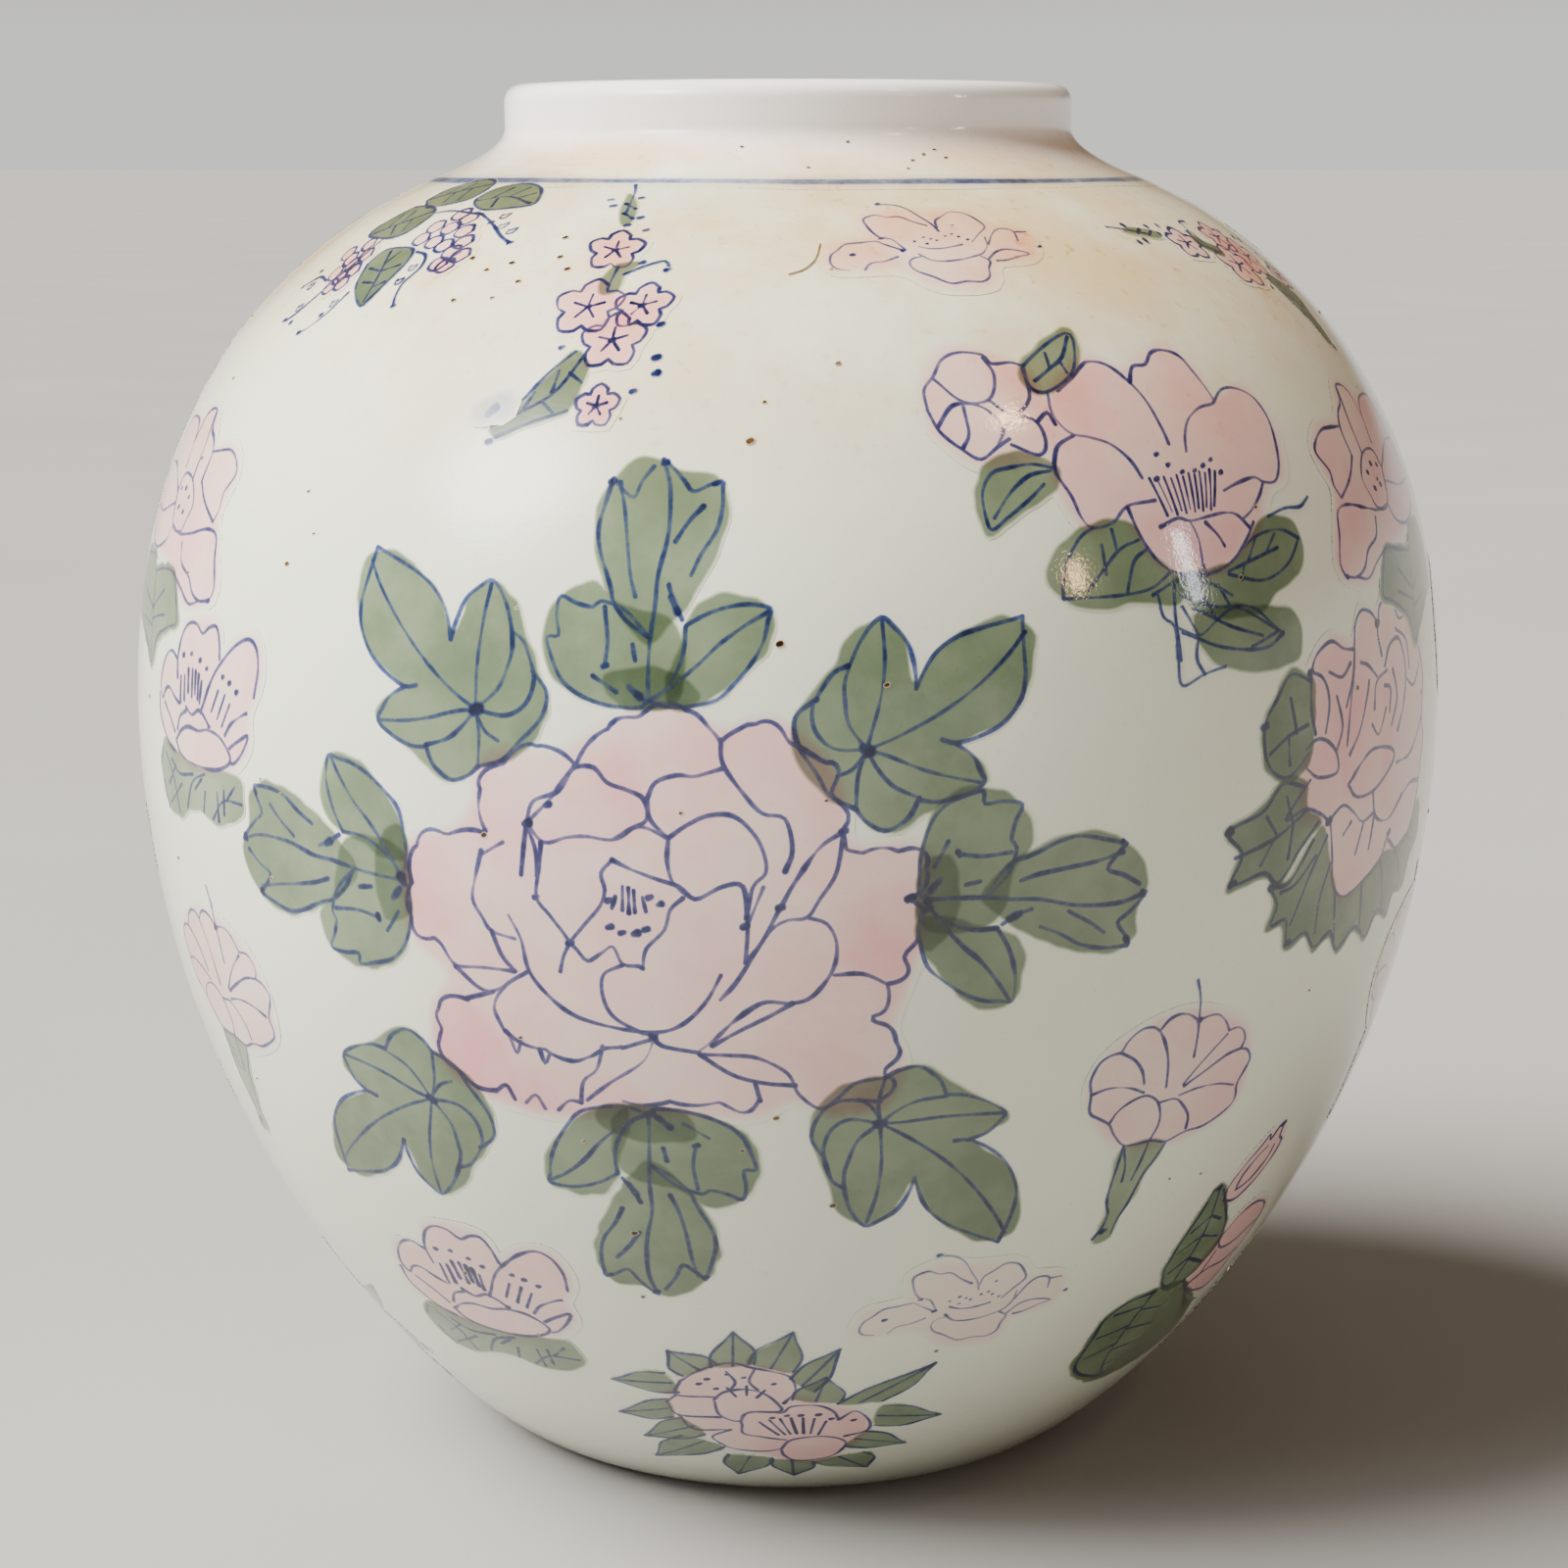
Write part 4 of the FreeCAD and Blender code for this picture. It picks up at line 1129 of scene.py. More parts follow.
def bouquet():
    """Low posy of two blossoms in a ring of pointed leaves, near the foot."""
    leaf_places = (
        ((-20, 9.5), (-18, 3.5), (-29.3, 5.3)), ((-20, 1), (-19.5, -5.5), (-28.8, -6)),
        ((-18, -5.5), (-14, -11.5), (-25, -14)), ((-18.4, -12.5), (-10.2, -16), (-23.5, -22.3)),
        ((-9.3, -19), (-1, -19.5), (-7.5, -28.2)), ((-1, -20), (6, -21), (2.5, -28)),
        ((6.2, -21), (14.5, -18), (15, -25.5)), ((11.5, -15), (15, -9.5), (22, -15.5)),
        ((16.5, -7.5), (18, -.5), (28.5, -6)), ((10.5, 1), (18, 1), (27.1, 11.8)),
        ((2, 9.5), (6.5, 5.5), (10.7, 17)), ((-5.5, 13.5), (2.5, 11.5), (2.5, 22)),
        ((-12, 12), (-4.5, 13.5), (-7.8, 21.8)), ((2.5, 3), (11, 1.5), (8.5, 9.5)),
        ((-17, 9), (-11, 13), (-19, 16)),
    )
    leaves = together(*[pointed_leaf(*place) for place in leaf_places])
    petals = lines(
        0.75, 0.9,
        [(-17.5, 7.3), (-14, 11), (-9, 13.5), (-5, 12.5), (-1, 11.5), (2, 10), (3, 6), (1, 2)],
        [(-12, 1.8), (-10.2, 4.5), (-6.5, 5.9), (-2.9, 5), (-.2, 1.8), (.3, -.9), (-5.6, -1.8),
         (-7.5, -5.5), (-11.1, -3.6), (-12, 1.8)],
        [(-17.5, 7.3), (-18.4, 2.7), (-12, 2.7)], [(-20.2, 0), (-18.4, -4.5), (-11, -4.5)],
        [(-18.4, 2.7), (-20.2, 0)], [(-18.4, -4.5), (-16, -9.5), (-9, -9)],
        [(-7, -6.4), (-6.5, -2.7), (-2.9, -1.1), (.7, -1.4), (2.5, .9), (7.1, .9), (9.8, -1.4),
         (10.7, -4.5)],
        [(10.7, -4.5), (13.5, -1.8), (15.7, -5.5), (15.3, -9.1), (11.6, -10.9)],
        [(-6.8, -6.4), (-6.5, -10), (-2.9, -10.9), (1.6, -11.8)],
        [(-11.1, -14.5), (-8.4, -16.4), (-2.9, -16.8), (.7, -15.5)],
        [(-9, -9), (-12.5, -12), (-11.1, -14.5)],
        [(.7, -15.5), (2.5, -11.8), (7.1, -10.5), (10.7, -11.8), (11.6, -14.5), (8.9, -19.1),
         (3.5, -20.5), (1.2, -18.2), (.7, -15.5)],
        [(-9.5, 11), (-8, 8), (-9, 5.5)], [(-4.5, 12), (-5.5, 8.5), (-4, 6)],
    )
    tuft = lines(
        0.6, 1.1,
        [(-3.5, -5.2), (.2, -9.8)], [(-1.6, -4.2), (1.4, -9.6)], [(.4, -3.6), (2.4, -9.4)],
        [(2.4, -3.2), (3.5, -9.2)], [(4.6, -3.2), (4.7, -9.2)], [(6.6, -3.6), (5.9, -9.3)],
        [(8.6, -4.8), (7.2, -9.8)], [(-8, 3.4), (-9.5, 6)], [(-6, 4), (-6, 7)],
        [(-4.2, 3.4), (-2.6, 6)],
    )
    spots = dots(
        0.9, 1.2,
        (4.2, -2.3), (7.3, -2.3), (1.6, -2.4), (-1.1, -3.4), (9.6, -4), (-12.9, 8.4), (-14.3, 6.8),
        (-9.3, 10.2), (-11.5, 5.5), (-6.5, 9.5), (-1, 8), (13.2, -5),
    )
    pink = washes(
        0.8,
        [(-18, 7), (-12, 13), (-5, 13.5), (2, 11), (3.5, 5), (8, 1.5), (13, -1), (16, -6), (14, -12),
         (12, -15), (9, -20), (3, -21), (-3, -17.5), (-10, -16), (-13, -12), (-17, -9), (-20.5, -1)],
    )
    return together(leaves, {"pink": pink, "lines": petals + tuft, "dots": spots})


def chrysanthemum():
    """Full flower with curled inner petals, in a ring of toothed leaves."""
    petals = lines(
        0.85, 0.95,
        [(-19.5, 16.4), (-17.3, 19.1), (-12.7, 20.9), (-9.1, 19.5), (-5.5, 19.1)],
        [(-19.5, 16.4), (-15.9, 15), (-14.5, 11.4), (-15.9, 6.4)],
        [(-19.5, 16), (-20, 10.5), (-18.9, 6.4)],
        [(-5.5, 19.5), (-4.5, 23.2), (-1.8, 25.2), (1.8, 24.5), (4.1, 22.7), (5.5, 25), (9.1, 26.2),
         (12.3, 24.1), (14.5, 21.4), (19.1, 21.8), (23.6, 20.9), (24, 16)],
        [(4.1, 22.7), (3.6, 20.5), (4.5, 16.8)], [(-5.5, 18.6), (-6.4, 14.5), (-9, 10)],
        [(-3.6, 16.8), (-.9, 15.9), (2.3, 13.2)],
        [(5.5, 14.5), (8.2, 17.7), (12.7, 18.2), (15, 15), (15.5, 10.5), (13.6, 5.9), (10.9, 2.3)],
        [(-9.1, 3.2), (-7.7, 9.5), (-6.4, 14)], [(-8.2, 1.4), (-4.5, 5), (-1.8, 10.5), (-.9, 13.2)],
        [(0, 5), (2.7, 2.7), (5.5, 6.8)], [(.9, 7.7), (1.8, 12.3), (6.4, 13.6)],
        [(-12, 12), (-10.5, 7), (-12.5, 3)], [(9, 13), (10.5, 8), (8, 3.5)],
        [(5, 11), (7.5, 10), (7, 6)],
        [(-21.4, 4.1), (-18.6, 5.5), (-15.5, 5), (-12.7, 2.7), (-12.3, -.9), (-17.7, -.9), (-21, 1)],
        [(-20, -1), (-25.9, -6.8), (-20.9, -5.9), (-16.4, -7.7), (-14.1, -9.5)],
        [(-8.6, -4.1), (-3.6, -.9), (.9, .5), (8.2, -.5), (9.5, -2.3), (5.5, -5), (.5, -6.8),
         (-5.5, -6.8), (-8.6, -4.1)],
        [(-14.1, -9.5), (-10, -7.5), (-5.9, -9.5), (-2.7, -11.4), (1.8, -10.5)],
        [(.9, -6.8), (2.7, -11.4), (8.6, -12.7), (14.5, -9.5)],
        [(-13.6, -9.5), (-11.8, -15.9), (-10, -21.4), (-5.5, -24.1), (.9, -22.3), (6.4, -20),
         (9.5, -15)],
        [(-9.1, -12.7), (-6.8, -10.9)], [(-2.3, -11.8), (-4.1, -16.8)], [(1.8, -11.4), (.9, -16.8)],
        [(9.5, -16.8), (14.5, -19.1), (20.9, -16.8), (23.6, -11.4), (25.5, -5)],
        [(10.9, -3.2), (18.2, -2.3), (25.5, 3.2)],
        [(24, 16), (27, 10), (25.5, 3.2), (27, -1), (25.5, -5)],
        [(15.5, 10.5), (20, 9), (24.5, 12)], [(14.5, -9.5), (19, -8), (24, -8.5)],
        [(12, 20), (17, 17), (18, 12)], [(-14, 16), (-10, 15), (-7, 17)],
    )
    leaves = lines(
        0.85, 1.15,
        [(-20, 15), (-25, 16.5), (-28.2, 13.6), (-31.8, 8.6), (-30.9, 2.3), (-25.9, 0), (-20.5, 3.5)],
        [(-21, 8), (-26, 6.5), (-30.5, 4)], [(-24, 7), (-25.5, 12.5)], [(-26, 6.5), (-25.5, 2)],
        [(-21, -2), (-27, -1), (-32, -5), (-40, -7.7), (-36.5, -11.5), (-38.2, -16.4), (-31, -15.5),
         (-27, -18), (-22, -13), (-17, -9)],
        [(-20, -6), (-28, -9.5), (-38, -12)], [(-24, -8), (-26, -3)], [(-28, -9.5), (-31, -6)],
        [(-24, -8), (-25, -14)], [(-29, -9.8), (-32, -14)],
        [(-18, -12), (-24, -18.5), (-28.6, -18.6), (-26.5, -22), (-27.3, -25.5), (-23.5, -25),
         (-22, -29.5),
         (-17.3, -28.2), (-13.6, -31.8), (-9, -30), (-5.5, -34), (0, -31), (5.5, -33.5), (9, -29.5),
         (15, -31), (17, -27), (23, -27), (24, -22), (28, -19), (25.5, -13)],
        [(-14, -12), (-18, -18), (-22, -26)], [(-12, -17), (-14, -23), (-14, -29)],
        [(-9, -23), (-8, -28), (-7, -32)], [(0, -23), (1, -27), (2, -31)],
        [(7, -20.5), (9, -24), (11, -29)],
        [(14, -19.5), (17, -22), (20, -26)], [(20, -17.5), (23, -19), (26, -19.5)],
        [(-17, -15), (-22, -19), (-26, -20)],
    )
    pools = dots(1.6, 1.4, (-40, -7.7), (-38, -16.3), (-31.8, 8.6), (-28.6, -18.6), (-19.5, 16.3),
                 (4.1, 22.6),
                 (-22, -29.3), (-14, -9.5), (9.5, -15.5))
    pink = washes(
        0.95,
        [(-20, 16), (-13, 21.5), (-6, 20), (-2, 25.5), (4, 24), (9, 26.5), (15, 22), (24, 21),
         (27.5, 10),
         (26, 2), (27, -2), (24, -12), (20, -17.5), (13, -19.5), (8, -19.5), (0, -23), (-7, -24.5),
         (-12, -18), (-15, -10), (-22, -7), (-22, 2), (-19, 6)],
    ) + washes(0.5, [(-12, 8), (-4, 12), (6, 11), (9, 2), (6, -6), (-6, -7), (-12, 0)])
    green = washes(
        1.1,
        [(-19, 15), (-25, 17.5), (-29, 14), (-32.5, 8.5), (-31.5, 1.5), (-25.5, -1), (-20.5, 2),
         (-19, 8)],
        [(-21, -1), (-27, 0), (-33, -4.5), (-41, -7.5), (-37.5, -11.5), (-39, -17.5), (-31, -16.5),
         (-27, -19), (-21, -13), (-16, -9), (-20, -6)],
        [(-16, -10), (-24, -17.5), (-29.5, -18), (-27.5, -22), (-28.5, -26.5), (-24.5, -26),
         (-22.5, -30.5),
         (-17.3, -29.2), (-13.6, -32.8), (-9, -31), (-5.5, -35), (0, -32), (5.5, -34.5), (9, -30.5),
         (15, -32), (17, -28), (23.5, -28), (25, -22.5), (29, -19), (25.5, -12), (20, -17), (13, -19),
         (8, -19), (0, -22.5), (-6.5, -24), (-11.5, -18)],
    )
    return {"pink": pink, "green": green, "lines": petals + leaves, "dots": pools}


def bud_branch():
    """Long ribbed leaf with a half-open bud above it and a pink flower beside it."""
    drawn = lines(
        0.75, 0.9,
        [(-1.5, 11), (-1.8, 14.5), (.5, 18.5), (3.5, 21.5), (5, 23.5), (6, 22), (7.5, 24.2),
         (8.8, 24.6),
         (9.2, 21.5), (10.6, 20.5), (9.6, 16.5), (6.5, 12.5), (2.5, 10), (-1.5, 11)],
        [(1.2, 12.5), (1.2, 15.5), (3.6, 19), (6, 20.5)],
        [(1.2, 12.5), (4.5, 13.5), (7.6, 17), (8.4, 20)],
        [(5.3, -.3), (9.3, 4.3), (14.7, 5), (20, 1.7), (19, -8), (15, -16), (8, -14.5), (2.7, -11.7)],
        [(5.3, -.3), (8, -3.5), (13, -4), (19, -1)], [(2.7, -11.7), (8, -9), (14, -9.5), (18, -8)],
        [(7, -4), (6.5, -9)],
    )
    ribs = lines(
        0.75, 1.1,
        [(-6.3, 15), (-7, 10.3), (-8.7, 3.7), (-9, -3.7), (-5.3, -9), (1.3, -8.3), (5.3, -2.3),
         (4, 3.7), (0, 9.7), (-3.3, 14.3)],
        [(-4.5, 14.5), (-2.5, 4), (-3, -8)], [(-3, 8), (-7, 5)], [(-2.6, 3), (-8, 0)],
        [(-2.6, -2), (-7, -5)],
        [(-3, 8), (1, 6)], [(-2.5, 3), (3.5, 1)], [(-2.7, -2.5), (3, -5)],
        [(-7.5, -9.5), (-14.7, -10.3), (-18, -13.7), (-17.7, -18.3), (-16.7, -26.3), (-12, -31),
         (-4, -35)],
        [(-8, -9.5), (-9, -18), (-8, -28), (-4, -35)], [(-8.5, -13), (-16, -13)],
        [(-9, -18), (-16.5, -19)],
        [(-8.8, -23), (-15.5, -25)], [(-8.5, -14), (-2, -15)], [(-9, -19), (0, -20)],
        [(-8.5, -25), (3, -25)],
        [(-7, -30), (5, -29)], [(1, -9), (9, -19), (12, -26), (14, -31)],
        [(-4, -35), (5, -34.5), (14, -31)],
        [(5, -14), (11, -15.5)], [(8.5, -18), (14, -20)],
    )
    green = washes(
        1.0,
        [(-6.3, 15.5), (-8, 10.3), (-9.5, 3.7), (-9.7, -3.7), (-5.3, -10), (1.3, -9.3), (6, -2.3),
         (4.6, 3.7), (0, 10.5), (-3.3, 15.3)],
        [(-7, -8.5), (-15, -9.5), (-19, -13.7), (-18.7, -20), (-17.7, -27), (-12, -32.5), (-4, -36.5),
         (6, -36), (16, -32), (13, -20), (7, -14), (1, -9)],
    )
    pink = washes(0.85, [(-2, 11), (-1.5, 16), (3.5, 22), (8.8, 25), (11, 20.5), (9.6, 16),
                         (6, 11.5), (2, 9.6)],
                  [(5, 0), (10, 5), (15, 5.7), (21, 2), (19.5, -8), (15.5, -17), (8, -15), (2.5, -11)])
    pools = dots(1.3, 1.3, (-5, 15), (8.8, 24.6), (-8, -9.5))
    return {"pink": pink, "green": green, "lines": drawn + ribs, "dots": pools}


def lotus():
    """Lotus seen from the side, with broad petals turned outwards over a leaf."""
    drawn = lines(
        0.75, 0.9,
        [(-3.3, 16), (-1.3, 17.3), (2, 17.3), (4, 14.3), (7.3, 12.7), (9.3, 10), (9, 5.3)],
        [(9.5, 10.7), (13.3, 11.1), (16.7, 11), (20, 9.3), (22, 6.7), (19.7, 3.3), (20, .7),
         (18.7, -1.7)],
        [(-20, 6), (-18, 11), (-16, 14.8), (-10.7, 15.3), (-6.7, 14), (-4.3, 10.7), (-3.3, 6)],
        [(-4, 1.3), (-2, 4.7), (4, 4.7), (8, 1.3), (6.7, -2), (4.7, -4.7), (-1, -4.6), (-4, 1.3)],
        [(-.7, -4.7), (4.7, -5), (10, -4), (16.7, -2.9), (21.3, -4), (23, -8), (25, -12.7), (24, -15)],
        [(7.3, -6), (9.3, -9.3), (14, -11.3), (16.7, -14), (20, -15.3), (24, -15)],
        [(20, -15.3), (16, -16), (11.3, -13.7), (6, -11.7)], [(-3.3, 16), (-4.3, 10.7)],
        [(9, 5.3), (13, 2), (18.7, -1.7)],
        [(-20, 6), (-22, 0), (-20, -6), (-12, -9), (-4, -8), (-.7, -4.7)],
        [(-20, 6), (-13, 6), (-4, 1.3)], [(-21, -2), (-13, -2.5), (-3.5, -1)],
        [(2, 17), (4, 11), (4, 4.7)],
    )
    ribs = lines(
        0.75, 1.05,
        [(-20, -10.7), (-10.7, -10.3), (-8, -13.3), (-1.3, -12.7), (6, -12), (9.3, -15.3),
         (11.3, -19.7),
         (7.3, -21.3), (0, -24.7), (-3.3, -29.3), (-6.7, -26.7), (-14.7, -22.7), (-22, -20.7),
         (-20, -10.7)],
        [(-4, -28), (-5, -20), (-7, -13.5)], [(-5, -20), (2, -16)], [(-5, -20), (-14, -17), (-20, -16)],
        [(-5, -22), (4, -20)], [(-5, -23), (-13, -21.5)],
    )
    pink = washes(
        0.9,
        [(-20, 7), (-16, 15.5), (-7, 15), (-2, 18), (3, 17.5), (9, 12), (17, 12), (22.5, 7), (20.5, 0),
         (22, -4), (26, -13), (22, -16), (15, -16.5), (5, -12), (-8, -9.5), (-20, -7), (-23, 0)],
    )
    green = washes(1.0, [(-21, -10), (-10.7, -9.5), (-8, -12.3), (-1.3, -11.7), (6, -11), (10.3, -15),
                         (12.5, -20), (7.3, -22.3), (1, -25.5), (-3, -30.5), (-7.5, -27.5),
                         (-14.7, -23.7),
                         (-23, -21.5)])
    spots = dots(1.0, 1.2, (-1.5, 2), (1.5, 2.6), (4.6, 1.6), (0, -1.2), (3.4, -1.4), (23.7, -15))
    return {"pink": pink, "green": green, "lines": drawn + ribs, "dots": spots}


# ---------------------------------------------------------------- materials


def new_material(name):
    """An empty node material, and its tree and principled shader."""
    material = bpy.data.materials.new(name)
    material.use_nodes = True
    tree = material.node_tree
    return material, tree, tree.nodes["Principled BSDF"]


def node(tree, kind, **settings):
    """Adds a node and gives its own properties these settings."""
    made = tree.nodes.new(kind)
    for key, value in settings.items():
        setattr(made, key, value)
    return made


def object_coords(tree):
    """The place on the object in metres, which every pattern is laid out by."""
    return node(tree, "ShaderNodeTexCoord").outputs["Object"]


def noise(tree, coords, scale, detail=3.0, roughness=0.55, stretch=(1, 1, 1)):
    """Noise of this many waves per metre."""
    mapping = node(tree, "ShaderNodeMapping")
    mapping.inputs["Scale"].default_value = stretch
    tree.links.new(coords, mapping.inputs["Vector"])
    made = node(tree, "ShaderNodeTexNoise")
    made.inputs["Scale"].default_value = scale
    made.inputs["Detail"].default_value = detail
    made.inputs["Roughness"].default_value = roughness
    tree.links.new(mapping.outputs["Vector"], made.inputs["Vector"])
    return made.outputs["Fac"]


def remap(tree, value, low, high, to_low=0.0, to_high=1.0):
    """The value moved smoothly from one range to another, held at both ends."""
    made = node(tree, "ShaderNodeMapRange", interpolation_type="SMOOTHSTEP")
    for key, number in (("From Min", low), ("From Max", high), ("To Min", to_low), ("To Max", to_high)):
        made.inputs[key].default_value = number
    tree.links.new(value, made.inputs["Value"])
    return made.outputs["Result"]


def math_of(tree, operation, a, b):
    """Sum, product or other operation on two values, each a socket or a number."""
    made = node(tree, "ShaderNodeMath", operation=operation)
    for index, value in enumerate((a, b)):
        if isinstance(value, (int, float)):
            made.inputs[index].default_value = value
        else:
            tree.links.new(value, made.inputs[index])
    return made.outputs["Value"]


def mix_colour(tree, blend, factor, a, b):
    """Mix of two colours, each a socket or three numbers."""
    made = node(tree, "ShaderNodeMix", data_type="RGBA", blend_type=blend)
    factor_in, a_in, b_in = made.inputs[0], made.inputs[6], made.inputs[7]
    for socket, value in ((factor_in, factor), (a_in, a), (b_in, b)):
        if isinstance(value, (int, float)):
            socket.default_value = value
        elif isinstance(value, tuple):
            socket.default_value = (*value, 1)
        else:
            tree.links.new(value, socket)
    return made.outputs[2]


def coat(tree, colour, tint, density):
    """The colour seen through a pigment this many coats deep."""
    gamma = node(tree, "ShaderNodeGamma")
    gamma.inputs["Color"].default_value = (*tint, 1)
    tree.links.new(density, gamma.inputs["Gamma"])
    return mix_colour(tree, "MULTIPLY", 1.0, colour, gamma.outputs["Color"])


def bump(tree, shader, height, distance):
    """Small relief on the shader's normal, this many metres deep."""
    made = node(tree, "ShaderNodeBump")
    made.inputs["Distance"].default_value = distance
    tree.links.new(height, made.inputs["Height"])
    tree.links.new(made.outputs["Normal"], shader.inputs["Normal"])


def glaze_ground(tree, coords):
    """Colour of the bare glazed porcelain: greenish white, whiter up the neck (its own whiter glaze
    plus painted light), with tea stains.
    """
    height = node(tree, "ShaderNodeSeparateXYZ")
    tree.links.new(coords, height.inputs["Vector"])
    z = height.outputs["Z"]
    # Up the neck the colour turns whiter: partly the neck's own glaze, partly painted light.
    ground = mix_colour(tree, "MIX", remap(tree, z, 0.236, 0.243), BODY_GLAZE, NECK_GLAZE_AND_PAINTED_LIGHT)
    cloud = remap(tree, noise(tree, coords, 14, 4), 0.35, 0.7, 0.0, 0.5)
    ground = mix_colour(tree, "MULTIPLY", cloud, ground, (0.93, 0.955, 0.90))
    fleck = remap(tree, noise(tree, coords, 900, 2), 0.62, 0.78, 0.0, 0.5)
    ground = mix_colour(tree, "MULTIPLY", fleck, ground, (0.86, 0.84, 0.78))
    below_neck = math_of(tree, "MULTIPLY", remap(tree, z, 0.178, 0.228), remap(tree, z, 0.248, 0.240))
    patch = remap(tree, noise(tree, coords, 22, 6, 0.65), 0.36, 0.66, 0.25, 1.0)
    stain = math_of(tree, "MULTIPLY", below_neck, patch)
    ground = mix_colour(tree, "MULTIPLY", math_of(tree, "MULTIPLY", stain, 0.9), ground, STAIN)
    grime = remap(tree, noise(tree, coords, 420, 3), 0.60, 0.72, 0.0, 0.7)
    spots = math_of(tree, "MULTIPLY", grime, stain)
    return mix_colour(tree, "MULTIPLY", spots, ground, (0.72, 0.60, 0.45))


def painted_glaze():
    """Clear glaze over porcelain and over whatever pigment the mesh's points carry."""
    material, tree, shader = new_material("painted_glaze")
    coords = object_coords(tree)
    colour = glaze_ground(tree, coords)
    pigment = node(tree, "ShaderNodeAttribute", attribute_name="pigment")
    parts = node(tree, "ShaderNodeSeparateColor")
    tree.links.new(pigment.outputs["Color"], parts.inputs["Color"])
    iron = node(tree, "ShaderNodeAttribute", attribute_name="iron")
    pink_depth = remap(tree, noise(tree, coords, 45, 4, 0.6), 0.3, 0.7, 0.72, 1.3)
    green_depth = remap(tree, noise(tree, coords, 60, 5, 0.6), 0.3, 0.7, 0.86, 1.16)
    cobalt_depth = remap(tree, noise(tree, coords, 700, 2, 0.5), 0.35, 0.65, 0.82, 1.12)
    shielded = remap(tree, parts.outputs["Blue"], 0, 1, 1, 0.45)
    thinned = math_of(tree, "MULTIPLY", parts.outputs["Green"], shielded)
    coats = (
        (PINK_COAT, parts.outputs["Red"], pink_depth),
        (GREEN_COAT, thinned, green_depth),
        (COBALT_COAT, parts.outputs["Blue"], cobalt_depth),
        (IRON_COAT, iron.outputs["Fac"], cobalt_depth),
    )
    for tint, laid, depth in coats:
        colour = coat(tree, colour, tint, math_of(tree, "MULTIPLY", laid, depth))
    tree.links.new(colour, shader.inputs["Base Color"])
    smear = remap(tree, noise(tree, coords, 60, 4), 0.3, 0.75, 0.07, 0.15)
    tree.links.new(smear, shader.inputs["Roughness"])
    shader.inputs["IOR"].default_value = GLAZE_IOR
    shader.inputs["Coat Weight"].default_value = 0.25
    shader.inputs["Coat Roughness"].default_value = 0.04
    peel = math_of(tree, "ADD", noise(tree, coords, 260, 2), noise(tree, coords, 1500, 1))
    bump(tree, shader, peel, 0.00002)
    return material


def plain_glaze(name, tint):
    """Unpainted glaze on the hidden faces, a little duller and with pinholes."""
    material, tree, shader = new_material(name)
    coords = object_coords(tree)
    cloud = remap(tree, noise(tree, coords, 18, 4), 0.3, 0.7)
    colour = mix_colour(tree, "MIX", cloud, tint, tuple(0.92 * c for c in tint))
    pinhole = remap(tree, noise(tree, coords, 800, 2), 0.66, 0.74, 0.0, 0.6)
    colour = mix_colour(tree, "MULTIPLY", pinhole, colour, (0.62, 0.54, 0.42))
    tree.links.new(colour, shader.inputs["Base Color"])
    smear = remap(tree, noise(tree, coords, 70, 3), 0.3, 0.7, 0.10, 0.2)
    tree.links.new(smear, shader.inputs["Roughness"])
    shader.inputs["IOR"].default_value = GLAZE_IOR
    bump(tree, shader, noise(tree, coords, 300, 3), 0.00003)
    return material


def bare_clay(name, tint, burnt, roughness):
    """Unglazed porcelain: gritty, matt, tinged brown where the kiln touched it."""
    material, tree, shader = new_material(name)
    coords = object_coords(tree)
    flash = remap(tree, noise(tree, coords, 30, 5, 0.65), 0.42, 0.72)
    colour = mix_colour(tree, "MIX", flash, tint, burnt)
    grit = remap(tree, noise(tree, coords, 1400, 2), 0.60, 0.72, 0.0, 0.7)
    colour = mix_colour(tree, "MULTIPLY", grit, colour, (0.45, 0.38, 0.30))
    tree.links.new(colour, shader.inputs["Base Color"])
    worn = remap(tree, flash, 0.0, 1.0, roughness, roughness - 0.12)
    tree.links.new(worn, shader.inputs["Roughness"])
    grain, rings = noise(tree, coords, 900, 4), noise(tree, coords, 140, 2, 0.5, (1, 1, 6))
    bump(tree, shader, math_of(tree, "ADD", grain, rings), 0.00015)
    return material


def pale_floor():
    """Matt off-white studio floor."""
    material, tree, shader = new_material("studio_floor")
    coords = object_coords(tree)
    tone = remap(tree, noise(tree, coords, 3, 3), 0.3, 0.7)
    colour = mix_colour(tree, "MIX", tone, *FLOOR_TONES)
    tree.links.new(colour, shader.inputs["Base Color"])
    shader.inputs["Roughness"].default_value = 0.8
    return material


def finish_cad_nodes():
    """Gives every CAD node that stays its own procedural finish."""
    finishes = {
        "interior_glaze": plain_glaze("inside_glaze", (0.74, 0.74, 0.69)),
        "base_glaze": plain_glaze("recess_glaze", (0.72, 0.73, 0.68)),
        "foot_ring": bare_clay("biscuit_foot", (0.70, 0.66, 0.59), (0.62, 0.47, 0.33), 0.78),
        "base_slab": bare_clay("slab_clay", (0.74, 0.72, 0.68), (0.68, 0.62, 0.54), 0.7),
        "lower_body": bare_clay("wall_clay", (0.75, 0.73, 0.70), (0.70, 0.65, 0.58), 0.68),
        "foot_slip_joint": bare_clay("slip", (0.72, 0.71, 0.68), (0.66, 0.62, 0.56), 0.6),
    }
    finishes["upper_body"] = finishes["lower_body"]
    finishes["neck_collar"] = finishes["lower_body"]
    finishes["belly_slip_joint"] = finishes["foot_slip_joint"]
    finishes["collar_slip_joint"] = finishes["foot_slip_joint"]
    for name, material in finishes.items():
        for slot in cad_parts[name].material_slots:
            slot.material = material


# ---------------------------------------------------------------- the studio


def aim(thing, place, target):
    """Puts an object at a place, looking at a target."""
    thing.location = place
    way = np.array(target) - np.array(place)
    thing.rotation_mode = "XYZ"
    thing.rotation_euler = (
        math.acos(-way[2] / np.linalg.norm(way)), 0.0, math.atan2(way[1], way[0]) - math.pi / 2,
    )


